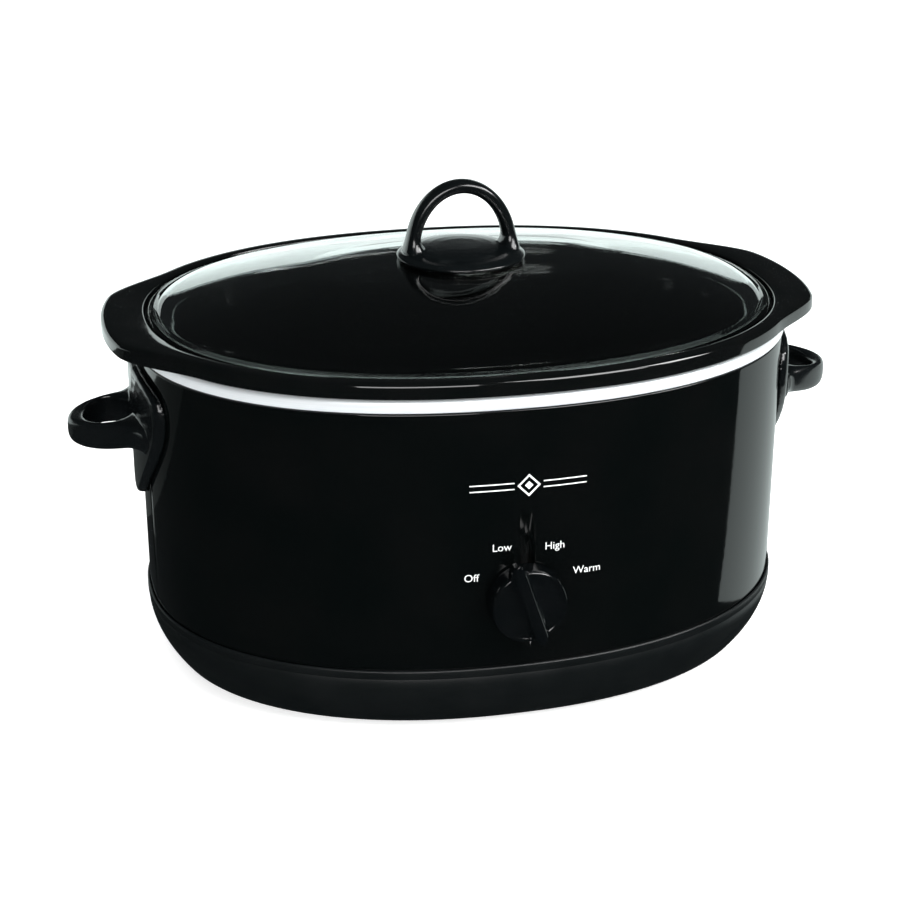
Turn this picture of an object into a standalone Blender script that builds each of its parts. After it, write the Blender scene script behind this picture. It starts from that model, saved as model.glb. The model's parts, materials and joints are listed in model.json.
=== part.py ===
"""Oval electric slow cooker: steel case on a moulded base, heated well, stoneware crock, glass lid.

Metres, +Z up. The front, with its control knob, faces -Y. The origin is on the surface that the
cooker stands on, under the middle of its overall box.
"""

import math

import bmesh
import bpy
from mathutils import Matrix, Vector

# ---------------------------------------------------------------- driving dimensions
FIT_GAP = 0.0003            # between pieces that touch
SEGMENTS = 56               # facets round each oval
OVAL_POWER = 2.2            # 2 is an ellipse, more is squarer

BODY_HALF_WIDTH = 0.177     # outside of the steel case
BODY_HALF_DEPTH = 0.138
SHELL_THICKNESS = 0.0010
SHELL_EXPOSED = 0.139       # painted height between base and rim band

FOOT_HEIGHT = 0.003
FOOT_RADIUS = 0.0075
FOOT_STEM_RADIUS = 0.0025
FOOT_INSET = 0.0265         # from the case outline to the middle of a foot

SKIRT_HEIGHT = 0.0365
SKIRT_PROUD = 0.0015        # how far the base stands outside the case
SKIRT_BAND = 0.0045         # straight band at its top
SKIRT_TUCK = 0.0135         # how far its foot curves in
SKIRT_WALL = 0.0025
SKIRT_RIM = 0.040           # inset of the opening underneath
COLLAR_DEPTH = 0.010        # how deep the case sits in the base

COVER_THICKNESS = 0.0010
COVER_INSET = 0.031
COVER_RISE = 0.005          # raised middle of the bottom cover
SCREW_INSET = 0.0355
SLOT_LENGTH = 0.046
SLOT_WIDTH = 0.0035

LIP_HEIGHT = 0.0075         # bright rolled band under the crock
LIP_BULGE = 0.0010
LIP_ROLL = 0.0032
WELL_THICKNESS = 0.0009
WELL_TOP_INSET = 0.013
WELL_FLOOR_INSET = 0.028
WELL_FLOOR = 0.046
WELL_CORNER = 0.012

CROCK_CLEARANCE = 0.0030
CROCK_WALL = 0.0070
CROCK_FLOOR = 0.0080
CROCK_LIFT = 0.0040         # above the well floor
CROCK_CORNER = 0.018
FLANGE_HEIGHT = 0.0089
FLANGE_OVERHANG = 0.0030
LEDGE_INSET = 0.0055        # edge of the recess that holds the lid
LEDGE_DEPTH = 0.0050
EAR_REACH = 0.0145
EAR_FLAT = 0.040            # half width of an ear before it starts to fall away
EAR_BLEND = 0.042           # length over which it runs back into the flange

GLASS_THICKNESS = 0.0040
LID_CLEARANCE = 0.0015
LID_RIM = 0.0045            # flat seat of the glass
LID_RISE = 0.0210           # crown above that seat
LID_HOLE_RADIUS = 0.0030
LID_DOME = ((0.004, 0.13), (0.011, 0.24), (0.026, 0.44), (0.048, 0.68), (0.076, 0.91), (0.092, 1.0))
# ^ run in from the dome's foot, and the share of its rise reached there

DISC_RADIUS = 0.035
DISC_HEIGHT = 0.0075
ARCH_HALF_WIDTH = 0.0306    # outside of the lid handle's legs
ARCH_HEIGHT = 0.0375        # above the disc's shoulder
ARCH_THICKNESS = 0.0074
ARCH_DEPTH = 0.0120

HANDLE_REACH = 0.039        # side handle, from the case outline
HANDLE_HALF_WIDTH = 0.031
HANDLE_HEIGHT = 0.016
HANDLE_BELOW_TOP = 0.0395   # from the top of the case to the loop's middle
FINGER_HOLE_CENTRE = 0.0165 # from the case outline
FINGER_HOLE_HALF_REACH = 0.0125
FINGER_HOLE_HALF_WIDTH = 0.0195
HANDLE_SCREW_SPREAD = 0.0235
HANDLE_SCREW_LENGTH = 0.0135
HANDLE_DROOP = 0.0025
HANDLE_FLARE = 0.009        # how far the roots of the loop spread
HANDLE_SHOULDER = 0.2       # how much slimmer than an oval its outline is
PLATE_HALF_WIDTH = 0.052
PLATE_THICKNESS = 0.0050
PLATE_RISE = 0.034          # above the loop's middle
PLATE_DROP = 0.042

KNOB_LEVEL = 0.077
KNOB_RADIUS = 0.0200
KNOB_STANDOFF = 0.0012
KNOB_SKIRT = 0.0120         # front of its side wall
KNOB_DOME = 0.0140
KNOB_PROUD = 0.0185         # front of the grip bar
KNOB_WALL = 0.0022
KNOB_BORE_DEPTH = 0.012
POINTER_REACH = 0.0260
POINTER_FALL = 0.14         # slope of the bar towards its nose
GRIP_TAIL = 0.0195
GRIP_WIDTH = 0.0092
LOW_ANGLE = math.radians(18)

SHAFT_RADIUS = 0.0030
SHAFT_CLEARANCE = 0.00008   # radial, in the switch
BUSHING_RADIUS = 0.0048
NUT_RADIUS = 0.0075
NUT_THICKNESS = 0.0022
SWITCH_WIDTH = 0.030
SWITCH_HEIGHT = 0.024
SWITCH_DEPTH = 0.014
TERMINAL_LENGTH = 0.008
TERMINAL_PITCH = 0.010
BLADE_WIDTH = 0.0063
BLADE_THICKNESS = 0.0008

HEATER_BOTTOM = 0.100
HEATER_HEIGHT = 0.042
HEATER_THICKNESS = 0.0024
CLAMP_HEIGHT = 0.026
HEATER_GAP = 0.018          # open ends at the back, drawn together by the clamp

GLAND_LEVEL = 0.060
GLAND_BORE = 0.0036
GLAND_NECK = 0.0060
GLAND_FLANGE = 0.0095
GLAND_PROUD = 0.007
LEAD_RADIUS = 0.0014
CRIMP_RADIUS = 0.0030
FUSE_RADIUS = 0.0021
FUSE_X = 0.045              # beside the middle, under the well floor

SCREW_RADIUS = 0.0018
SCREW_HEAD_RADIUS = 0.0038
SCREW_HEAD = 0.0022
SCREW_CLEARANCE = 0.0004
STUD_RADIUS = 0.0025
STUD_HEAD = 0.0012
WASHER_RADIUS = 0.008
WASHER_THICKNESS = 0.0010
CENTRE_NUT_RADIUS = 0.0050
CENTRE_NUT_HEIGHT = 0.0030

# ---------------------------------------------------------------- levels that follow
skirt_bottom = FOOT_HEIGHT
skirt_top = skirt_bottom + SKIRT_HEIGHT
shell_bottom = skirt_top - COLLAR_DEPTH + FIT_GAP
shell_top = skirt_top + SHELL_EXPOSED
lip_bottom = shell_top + FIT_GAP
lip_top = lip_bottom + LIP_HEIGHT
flange_bottom = lip_top + FIT_GAP
flange_top = flange_bottom + FLANGE_HEIGHT
ledge_level = flange_top - LEDGE_DEPTH
handle_level = shell_top - HANDLE_BELOW_TOP
glass_seat = ledge_level + FIT_GAP
glass_rim_top = glass_seat + GLASS_THICKNESS
glass_crown = glass_rim_top + LID_RISE
disc_bottom = glass_crown + FIT_GAP
cover_bottom = skirt_bottom + SKIRT_WALL + FIT_GAP
cover_middle = cover_bottom + COVER_RISE
crock_bottom = WELL_FLOOR + CROCK_LIFT
cavity_floor = crock_bottom + CROCK_FLOOR
fuse_level = WELL_FLOOR - WELL_THICKNESS - 0.0030

front_reach = BODY_HALF_DEPTH + KNOB_PROUD
rear_reach = BODY_HALF_DEPTH + max(FLANGE_OVERHANG, GLAND_PROUD)
body_y = (front_reach - rear_reach) / 2

# ---------------------------------------------------------------- scene and collections
for old in list(bpy.data.objects):
    bpy.data.objects.remove(old)

parts = bpy.data.collections.new("slow_cooker")
cutters = bpy.data.collections.new("cutters")
bpy.context.scene.collection.children.link(parts)
bpy.context.scene.collection.children.link(cutters)

body_centre = bpy.data.objects.new("body_centre", None)
body_centre.location = (0, body_y, 0)
parts.objects.link(body_centre)


def finish(name, colour, roughness, metallic=0.0):
    """A Principled material of one colour."""
    material = bpy.data.materials.new(name)
    material.use_nodes = True
    shader = material.node_tree.nodes["Principled BSDF"]
    shader.inputs["Base Color"].default_value = (*colour, 1)
    shader.inputs["Roughness"].default_value = roughness
    shader.inputs["Metallic"].default_value = metallic
    return material


black_enamel = finish("black_enamel", (0.004, 0.005, 0.005), 0.12)
base_plastic = finish("base_plastic", (0.012, 0.013, 0.014), 0.42)
handle_plastic = finish("handle_plastic", (0.006, 0.007, 0.008), 0.25)
knob_plastic = finish("knob_plastic", (0.005, 0.005, 0.006), 0.15)
bright_liner = finish("bright_liner", (0.80, 0.83, 0.85), 0.30, 0.9)
zinc_steel = finish("zinc_steel", (0.55, 0.56, 0.57), 0.35, 1.0)
black_glaze = finish("black_glaze", (0.004, 0.004, 0.005), 0.08)
clear_glass = finish("clear_glass", (0.95, 0.97, 0.97), 0.02)
rubber = finish("rubber", (0.02, 0.02, 0.02), 0.8)
mica = finish("mica", (0.45, 0.38, 0.26), 0.6)
switch_nylon = finish("switch_nylon", (0.75, 0.73, 0.66), 0.5)
lead_glass_sleeve = finish("lead_glass_sleeve", (0.70, 0.68, 0.62), 0.7)


# ---------------------------------------------------------------- shape helpers
def add_object(name, mesh, material=None, helper=False, parent=body_centre):
    obj = bpy.data.objects.new(name, mesh)
    (cutters if helper else parts).objects.link(obj)
    obj.parent = parent
    if helper:
        obj.hide_render = True
        obj.display_type = "WIRE"
    if material:
        mesh.materials.append(material)
    return obj


def from_bmesh(name, bm, material=None, helper=False, parent=body_centre):
    mesh = bpy.data.meshes.new(name)
    bm.to_mesh(mesh)
    bm.free()
    mesh.shade_smooth()
    mesh.set_sharp_from_angle(angle=math.radians(35))
    return add_object(name, mesh, material, helper, parent)


def oval_y(inset, x):
    """Depth of the oval outline, inset from the case, at the width x."""
    share = min(abs(x) / (BODY_HALF_WIDTH - inset), 1)
    return (BODY_HALF_DEPTH - inset) * (1 - share**OVAL_POWER) ** (1 / OVAL_POWER)


def oval_x(inset, y):
    """Width of the oval outline, inset from the case, at the depth y."""
    share = min(abs(y) / (BODY_HALF_DEPTH - inset), 1)
    return (BODY_HALF_WIDTH - inset) * (1 - share**OVAL_POWER) ** (1 / OVAL_POWER)


def oval_at(inset, angle):
    """Point of the oval outline, inset from the case, in the direction of an angle."""
    across, along = math.cos(angle), math.sin(angle)
    x = math.copysign(abs(across) ** (2 / OVAL_POWER), across) * (BODY_HALF_WIDTH - inset)
    y = math.copysign(abs(along) ** (2 / OVAL_POWER), along) * (BODY_HALF_DEPTH - inset)
    return x, y


def ear_push(x, y):
    """How far an ear moves a point of the flange outwards."""
    share = min(max((abs(y) - EAR_FLAT) / EAR_BLEND, 0), 1)
    return math.copysign(EAR_REACH * (1 - share * share * (3 - 2 * share)), x)


def oval_rings(bm, stations):
    """One ring of points for each station: inset, level and share of the ear."""
    rings = []
    for inset, level, ear in stations:
        ring = []
        for i in range(SEGMENTS):
            x, y = oval_at(inset, 2 * math.pi * i / SEGMENTS)
            x += ear * ear_push(x, y) if abs(x) > BODY_HALF_WIDTH / 2 else 0
            ring.append(bm.verts.new((x, y, level)))
        rings.append(ring)
    return rings


def oval_loft(name, stations, material=None, ends="cap", helper=False):
    """Skin over oval sections. Ends: cap for a solid, join for a closed band, open for a sheet."""
    bm = bmesh.new()
    rings = oval_rings(bm, [(*s, 0)[:3] for s in stations])
    pairs = list(zip(rings, rings[1:]))
    if ends == "join":
        pairs.append((rings[-1], rings[0]))
    for low, high in pairs:
        for i in range(SEGMENTS):
            j = (i + 1) % SEGMENTS
            bm.faces.new((low[i], low[j], high[j], high[i]))
    if ends == "cap":
        bm.faces.new(reversed(rings[0]))
    if ends in ("cap", "open"):
        bm.faces.new(rings[-1])
    return from_bmesh(name, bm, material, helper)


def arc(inset, level, radius, start, end, steps):
    """Stations of a round corner about a centre; angles in degrees, 0 outwards, 90 up."""
    found = []
    for i in range(steps + 1):
        angle = math.radians(start + (end - start) * i / steps)
        found.append((inset - radius * math.cos(angle), level + radius * math.sin(angle)))
    return found


def cylinder(name, radius, start, end, material=None, sides=20, helper=False, parent=body_centre):
    """Cylinder between two points."""
    start, end = Vector(start), Vector(end)
    bm = bmesh.new()
    turn = (end - start).to_track_quat("Z", "Y").to_matrix().to_4x4()
    place = Matrix.Translation((start + end) / 2) @ turn @ Matrix.Rotation(math.pi / sides, 4, "Z")
    bmesh.ops.create_cone(bm, cap_ends=True, segments=sides, radius1=radius, radius2=radius,
                          depth=(end - start).length, matrix=place)
    return from_bmesh(name, bm, material, helper, parent)


def block(name, size, centre, material=None, helper=False, bevel=0.0, parent=body_centre):
    """Box with optional rounded edges."""
    bm = bmesh.new()
    bmesh.ops.create_cube(bm, size=1, matrix=Matrix.Diagonal((*size, 1)))
    if bevel:
        bmesh.ops.bevel(bm, geom=bm.edges, offset=bevel, segments=2, affect="EDGES", profile=0.5)
    bm.transform(Matrix.Translation(centre))
    return from_bmesh(name, bm, material, helper, parent)


def turned(name, profile, steps, material=None, helper=False, parent=body_centre):
    """Round piece: a profile of (radius, level), from the top centre down its outer side."""
    bm = bmesh.new()
    points = [bm.verts.new((radius, 0, level)) for radius, level in profile]
    for above, below in zip(points, points[1:]):
        bm.edges.new((above, below))
    obj = from_bmesh(name, bm, material, helper, parent)
    screw = obj.modifiers.new("turn", "SCREW")
    screw.steps = steps
    screw.render_steps = steps
    screw.use_merge_vertices = True
    screw.merge_threshold = 0.00001
    return obj


def combine(target, other, operation):
    modifier = target.modifiers.new(operation.lower(), "BOOLEAN")
    modifier.operation = operation
    modifier.object = other
    return target


def rounded_bar(name, sections, squareness, material=None, helper=False, parent=body_centre):
    """Bar through cross sections of (centre, half width, half height), each a rounded rectangle."""
    bm = bmesh.new()
    count = 16
    rings = []
    for centre, across, upward in sections:
        ring = []
        for i in range(count):
            angle = 2 * math.pi * (i + 0.5) / count
            u = math.copysign(abs(math.cos(angle)) ** (2 / squareness), math.cos(angle))
            v = math.copysign(abs(math.sin(angle)) ** (2 / squareness), math.sin(angle))
            ring.append(bm.verts.new(Vector(centre) + u * Vector(across) + v * Vector(upward)))
        rings.append(ring)
    for near, far in zip(rings, rings[1:]):
        for i in range(count):
            j = (i + 1) % count
            bm.faces.new((near[i], near[j], far[j], far[i]))
    bm.faces.new(rings[0])
    bm.faces.new(rings[-1])
    bmesh.ops.recalc_face_normals(bm, faces=bm.faces)
    return from_bmesh(name, bm, material, helper, parent)


def smooth_route(route, per_span):
    """Points along a smooth curve through the route's own points."""
    points = [Vector(p) for p in route]
    padded = [2 * points[0] - points[1], *points, 2 * points[-1] - points[-2]]
    found = []
    for a, b, c, d in zip(padded, padded[1:], padded[2:], padded[3:]):
        for i in range(per_span):
            t = i / per_span
            found.append(0.5 * (2 * b + (c - a) * t + (2 * a - 5 * b + 4 * c - d) * t * t
                                + (3 * b - a - 3 * c + d) * t**3))
    return found + [points[-1]]


def tube(name, points, radius, material=None):
    """Round tube along a list of points."""
    curve = bpy.data.curves.new(name, "CURVE")
    curve.dimensions = "3D"
    curve.bevel_depth = radius
    curve.bevel_resolution = 1
    curve.use_fill_caps = True
    spline = curve.splines.new("POLY")
    spline.points.add(len(points) - 1)
    for point, place in zip(spline.points, points):
        point.co = (*place, 1)
    return add_object(name, curve, material)


# ---------------------------------------------------------------- case, well and base
def well_inset(level):
    """Inset of the well's inner face at a level; it narrows towards the floor."""
    share = (lip_top - level) / (lip_top - WELL_FLOOR)
    return WELL_TOP_INSET + (WELL_FLOOR_INSET - WELL_TOP_INSET) * share


def outer_shell():
    """Painted steel wall, open at both ends."""
    shell = oval_loft("outer_shell", [
        (0, shell_bottom), (0, shell_top), (SHELL_THICKNESS, shell_top), (SHELL_THICKNESS, shell_bottom),
    ], black_enamel, "join")
    front = -BODY_HALF_DEPTH
    bore = cylinder("bushing_cutter", BUSHING_RADIUS + SCREW_CLEARANCE, (0, front - 0.01, KNOB_LEVEL),
                    (0, front + 0.01, KNOB_LEVEL), helper=True)
    combine(shell, bore, "DIFFERENCE")
    rear = cylinder("gland_cutter", GLAND_NECK + FIT_GAP, (0, -front - 0.01, GLAND_LEVEL),
                    (0, -front + 0.01, GLAND_LEVEL), helper=True)
    combine(shell, rear, "DIFFERENCE")
    for cutter in handle_screw_cutters():
        combine(shell, cutter, "DIFFERENCE")


def heating_well():
    """Bright steel liner: a rolled lip that caps the case, and the well that the crock hangs in."""
    lip = LIP_HEIGHT / 2
    floor_inset = well_inset(WELL_FLOOR + WELL_CORNER)
    outer_roll = [(0.0004, lip_bottom), (-LIP_BULGE, lip_bottom + lip * 0.6), (-LIP_BULGE, lip_bottom + lip)]
    top_roll = arc(LIP_ROLL - LIP_BULGE, lip_top - LIP_ROLL, LIP_ROLL, 20, 90, 2)
    stations = outer_roll + top_roll + [(0.0092, lip_top), (0.0120, lip_top - 0.0016)]
    stations += [(well_inset(lip_top - 0.008), lip_top - 0.008), (floor_inset, WELL_FLOOR + WELL_CORNER)]
    stations += [(floor_inset + WELL_CORNER * (1 - math.cos(a)), WELL_FLOOR + WELL_CORNER * (1 - math.sin(a)))
                 for a in (math.radians(40), math.radians(90))]
    well = oval_loft("heating_well", stations, bright_liner, "open")
    solid = well.modifiers.new("sheet", "SOLIDIFY")
    solid.thickness = WELL_THICKNESS
    solid.offset = -1
    solid.use_even_offset = True
    stud = cylinder("stud_cutter", STUD_RADIUS + SCREW_CLEARANCE, (0, 0, WELL_FLOOR - 0.01),
                    (0, 0, WELL_FLOOR + 0.01), helper=True)
    combine(well, stud, "DIFFERENCE")


def skirt_inset(level):
    """Inset of the base's outer face: a straight band, then a curve that tucks under."""
    share = max((skirt_top - SKIRT_BAND - level) / (SKIRT_HEIGHT - SKIRT_BAND), 0)
    return SKIRT_TUCK * share**1.9 - SKIRT_PROUD


def base_skirt():
    """Moulded base ring that the case stands in, with a rim underneath for the feet and cover."""
    steps = 5
    outer = [(skirt_inset(z), z) for z in
             [skirt_bottom + (SKIRT_HEIGHT - SKIRT_BAND) * i / steps for i in range(steps + 1)]]
    shelf = skirt_top - COLLAR_DEPTH
    inner_levels = [shelf - SKIRT_WALL, shelf - 0.013, skirt_bottom + SKIRT_WALL]
    inner = [(skirt_inset(z) + SKIRT_WALL, z) for z in inner_levels]
    stations = outer + [
        (-SKIRT_PROUD, skirt_top - 0.0005),
        (-SKIRT_PROUD + 0.0005, skirt_top),
        (-FIT_GAP, skirt_top),
        (-FIT_GAP, shelf),
        (0.0045, shelf),
        (0.0045, shelf - SKIRT_WALL),
    ] + inner[1:] + [(SKIRT_RIM, skirt_bottom + SKIRT_WALL), (SKIRT_RIM, skirt_bottom)]
    skirt = oval_loft("base_skirt", stations, base_plastic, "join")
    for index, (x, y) in enumerate(foot_places()):
        hole = cylinder(f"foot_cutter_{index}", FOOT_STEM_RADIUS + FIT_GAP, (x, y, -0.002),
                        (x, y, skirt_bottom + SKIRT_WALL + 0.002), helper=True)
        combine(skirt, hole, "DIFFERENCE")
    for index, (x, y) in enumerate(cover_screw_places()):
        hole = cylinder(f"skirt_screw_cutter_{index}", SCREW_RADIUS + FIT_GAP, (x, y, -0.002),
                        (x, y, skirt_bottom + SKIRT_WALL + 0.002), helper=True)
        combine(skirt, hole, "DIFFERENCE")


def foot_places():
    return [oval_at(FOOT_INSET, math.radians(a)) for a in (45, 135, 225, 315)]


def cover_screw_places():
    return [oval_at(SCREW_INSET, math.radians(a)) for a in (0, 90, 180, 270)]


def feet():
    """Rubber feet, each with a stem and a barb that holds it in the base."""
    barb_level = skirt_bottom + SKIRT_WALL + FIT_GAP
    for name, (x, y) in zip(("foot_rear_right", "foot_rear_left", "foot_front_left", "foot_front_right"),
                            foot_places()):
        foot = turned(name, [
            (0, barb_level + 0.003), (FOOT_STEM_RADIUS * 0.6, barb_level + 0.003),
            (FOOT_STEM_RADIUS + 0.0008, barb_level), (FOOT_STEM_RADIUS, barb_level),
            (FOOT_STEM_RADIUS, skirt_bottom - FIT_GAP), (FOOT_RADIUS - 0.0004, skirt_bottom - FIT_GAP),
            (FOOT_RADIUS, skirt_bottom - 0.0008), (FOOT_RADIUS - 0.0010, 0), (0, 0),
        ], 18, rubber)
        foot.location = (x, y, 0)


def bottom_cover():
    """Steel plate over the opening underneath, raised in the middle and slotted for air."""
    top = COVER_THICKNESS
    cover = oval_loft("bottom_cover", [
        (0.052, cover_middle), (0.045, cover_bottom), (COVER_INSET, cover_bottom),
        (COVER_INSET, cover_bottom + top), (0.045, cover_bottom + top), (0.052, cover_middle + top),
    ], zinc_steel)
    for index in range(6):
        row, column = divmod(index, 3)
        centre = ((column - 1) * (SLOT_LENGTH + 0.014), (row - 0.5) * 0.060, cover_middle)
        size = (SLOT_LENGTH, SLOT_WIDTH, 10 * COVER_THICKNESS)
        slot = block(f"slot_cutter_{index}", size, centre, helper=True)
        combine(cover, slot, "DIFFERENCE")
    centre = cylinder("cover_stud_cutter", STUD_RADIUS + SCREW_CLEARANCE, (0, 0, 0), (0, 0, 0.03),
                      helper=True)
    combine(cover, centre, "DIFFERENCE")
    for index, (x, y) in enumerate(cover_screw_places()):
        hole = cylinder(f"cover_screw_cutter_{index}", SCREW_RADIUS + FIT_GAP, (x, y, 0), (x, y, 0.02),
                        helper=True)
        combine(cover, hole, "DIFFERENCE")


def pan_screw(name, place, direction, length):
    """Screw whose head sits just behind a place, its shank running in a direction."""
    screw = turned(name, [
        (0, SCREW_HEAD), (SCREW_HEAD_RADIUS * 0.6, SCREW_HEAD), (SCREW_HEAD_RADIUS, SCREW_HEAD * 0.4),
        (SCREW_HEAD_RADIUS, 0), (SCREW_RADIUS, 0), (SCREW_RADIUS, -length + 0.001),
        (SCREW_RADIUS * 0.4, -length), (0, -length),
    ], 10, zinc_steel)
    screw.location = place
    screw.rotation_mode = "QUATERNION"
    screw.rotation_quaternion = (-Vector(direction)).to_track_quat("Z", "Y")


def cover_screws():
    for index, (x, y) in enumerate(cover_screw_places()):
        side = ("right", "rear", "left", "front")[index]
        pan_screw(f"cover_screw_{side}", (x, y, skirt_bottom - FIT_GAP), (0, 0, 1),
                  SKIRT_WALL + COVER_THICKNESS + 0.004)


def centre_fixing():
    """Stud, washer and nut that pull the well down onto case and base."""
    under_head = WELL_FLOOR + FIT_GAP
    stud_end = FOOT_HEIGHT + 0.0005
    turned("well_stud", [
        (0, under_head + STUD_HEAD), (WASHER_RADIUS, under_head + STUD_HEAD), (WASHER_RADIUS, under_head),
        (STUD_RADIUS, under_head), (STUD_RADIUS, stud_end), (0, stud_end),
    ], 20, zinc_steel)
    bore = STUD_RADIUS + SCREW_CLEARANCE
    washer_top = cover_middle - FIT_GAP
    washer_low = washer_top - WASHER_THICKNESS
    ring("centre_washer", WASHER_RADIUS, bore, washer_low, washer_top, zinc_steel)
    nut_top = washer_low - FIT_GAP
    ring("centre_nut", CENTRE_NUT_RADIUS, bore, nut_top - CENTRE_NUT_HEIGHT, nut_top, zinc_steel, 6)


def ring(name, outer, inner, low, high, material, sides=24):
    """Flat ring about Z; six sides make a nut."""
    made = cylinder(name, outer, (0, 0, low), (0, 0, high), material, sides)
    hole = cylinder(name + "_cutter", inner, (0, 0, low - 0.002), (0, 0, high + 0.002), helper=True)
    combine(made, hole, "DIFFERENCE")
    return made


# ---------------------------------------------------------------- side handles
def handle_screw_places(side):
    """Depth, level and the inside face of the case for each screw of one handle."""
    found = []
    for y in (-HANDLE_SCREW_SPREAD, HANDLE_SCREW_SPREAD):
        inside = oval_x(SHELL_THICKNESS, abs(y) + SCREW_HEAD_RADIUS) - FIT_GAP
        found.append((side * inside, y, handle_level))
    return found


def handle_screw_cutters():
    found = []
    for side, word in ((1, "right"), (-1, "left")):
        for index, (x, y, z) in enumerate(handle_screw_places(side)):
            found.append(cylinder(f"{word}_handle_hole_{index}", SCREW_RADIUS + SCREW_CLEARANCE,
                                  (x - side * 0.01, y, z), (x + side * 0.016, y, z), helper=True))
    return found


def loop_sections(side):
    """Cross sections of a side handle's loop, from its front root round to its rear root."""
    half_angles = [0, 3, 7, 13, 22, 33, 46, 60, 75]
    angles = half_angles + [90] + [180 - a for a in reversed(half_angles)]
    sections = []
    for angle in map(math.radians, angles):
        out = HANDLE_REACH * math.sin(angle)
        slim = 1 - HANDLE_SHOULDER * math.sin(angle)
        flare = HANDLE_FLARE * min(max((0.011 - out) / 0.009, 0), 1) ** 2
        outer = Vector((out, -math.cos(angle) * (HANDLE_HALF_WIDTH * slim + flare), 0))
        parting = math.copysign(FIT_GAP, math.cos(angle))
        inner = Vector((FINGER_HOLE_CENTRE - FINGER_HOLE_HALF_REACH * math.cos(2 * angle),
                        -FINGER_HOLE_HALF_WIDTH * math.sin(2 * angle) - parting, 0))
        centre = (outer + inner) / 2 + Vector((BODY_HALF_WIDTH, 0, handle_level))
        centre.z -= HANDLE_DROOP * math.sin(angle)
        across = (outer - inner) / 2
        sections.append([centre, across, Vector((0, 0, HANDLE_HEIGHT / 2 - 0.0007 * math.sin(angle)))])
    for root, place in ((sections[0], 0), (sections[-1], len(sections))):
        inward = [root[0] - Vector((0.014, 0, 0)), root[1], root[2]]
        sections.insert(place + (place > 0), inward)
    for section in sections:
        section[0] = Vector((side * section[0].x, section[0].y, section[0].z))
        section[1] = Vector((side * section[1].x, section[1].y, 0))
    return sections


def plate_outline():
    """Shield seen from the side: broad and gently arched above, drawn to a blunt point below."""
    half = PLATE_HALF_WIDTH
    top, low = handle_level + PLATE_RISE, handle_level - PLATE_DROP
    right = [(0.0, top), (half * 0.55, top - 0.0015), (half * 0.86, top - 0.006),
             (half * 0.98, top - 0.013),
             (half, top - 0.021), (half * 0.93, top - 0.034), (half * 0.74, top - 0.048),
             (half * 0.46, low + 0.013), (half * 0.2, low + 0.002), (0.0, low)]
    left = [(-y, z) for y, z in reversed(right[1:-1])]
    return right + left


def side_handle(name, side):
    """Moulded handle: a shield plate that hugs the case, and a loop with a finger gap through it."""
    loop = rounded_bar(name + "_loop", loop_sections(side), 3.2, helper=True)
    bm = bmesh.new()
    start = side * (BODY_HALF_WIDTH - 0.045)
    end = side * (BODY_HALF_WIDTH + 0.020)
    face = bm.faces.new([bm.verts.new((start, y, z)) for y, z in plate_outline()])
    extruded = bmesh.ops.extrude_face_region(bm, geom=[face])
    moved = [v for v in extruded["geom"] if isinstance(v, bmesh.types.BMVert)]
    bmesh.ops.translate(bm, verts=moved, vec=(end - start, 0, 0))
    bmesh.ops.recalc_face_normals(bm, faces=bm.faces)
    handle = from_bmesh(name, bm, handle_plastic)
    skin = oval_loft(name + "_plate_skin", [(-PLATE_THICKNESS, 0.05), (-PLATE_THICKNESS, 0.25)],
                     helper=True)
    combine(handle, skin, "INTERSECT")
    combine(handle, loop, "UNION")
    core = oval_loft(name + "_core", [(-FIT_GAP, 0.02), (-FIT_GAP, 0.30)], helper=True)
    combine(handle, core, "DIFFERENCE")
    for index, (x, y, z) in enumerate(handle_screw_places(side)):
        hole = cylinder(f"{name}_pilot_{index}", SCREW_RADIUS + FIT_GAP, (x - side * 0.005, y, z),
                        (x + side * (HANDLE_SCREW_LENGTH + 0.001), y, z), helper=True)
        combine(handle, hole, "DIFFERENCE")
        where = "front" if y < 0 else "rear"
        pan_screw(f"{name}_screw_{where}", (x, y, z), (side, 0, 0), HANDLE_SCREW_LENGTH)


# ---------------------------------------------------------------- heater and wiring
def heater_band():
    """Mica band heater round the well, open at the back, with three terminal tabs."""
    low, high = HEATER_BOTTOM, HEATER_BOTTOM + HEATER_HEIGHT
    inner_low = well_inset(low) - WELL_THICKNESS - 2 * FIT_GAP
    inner_high = well_inset(high) - WELL_THICKNESS - 2 * FIT_GAP
    band = oval_loft("heater_band", [
        (inner_low - HEATER_THICKNESS, low), (inner_high - HEATER_THICKNESS, high),
        (inner_high, high), (inner_low, low),
    ], mica, "join")
    gap = block("heater_gap_cutter", (HEATER_GAP, 0.06, HEATER_HEIGHT + 0.02),
                (0, BODY_HALF_DEPTH - inner_low, low + HEATER_HEIGHT / 2), helper=True)
    combine(band, gap, "DIFFERENCE")
    for index, x in enumerate(heater_tab_places()):
        y = oval_y(inner_low - HEATER_THICKNESS, x)
        tab = block(f"heater_tab_{index}", (BLADE_WIDTH, BLADE_THICKNESS, 0.014),
                    (x, y - 0.0010, low - 0.003), helper=True)
        combine(band, tab, "UNION")


def heater_tab_places():
    """Widths of the common, low and high terminals, all at the back."""
    return (0.030, -0.030, -0.045)


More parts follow.
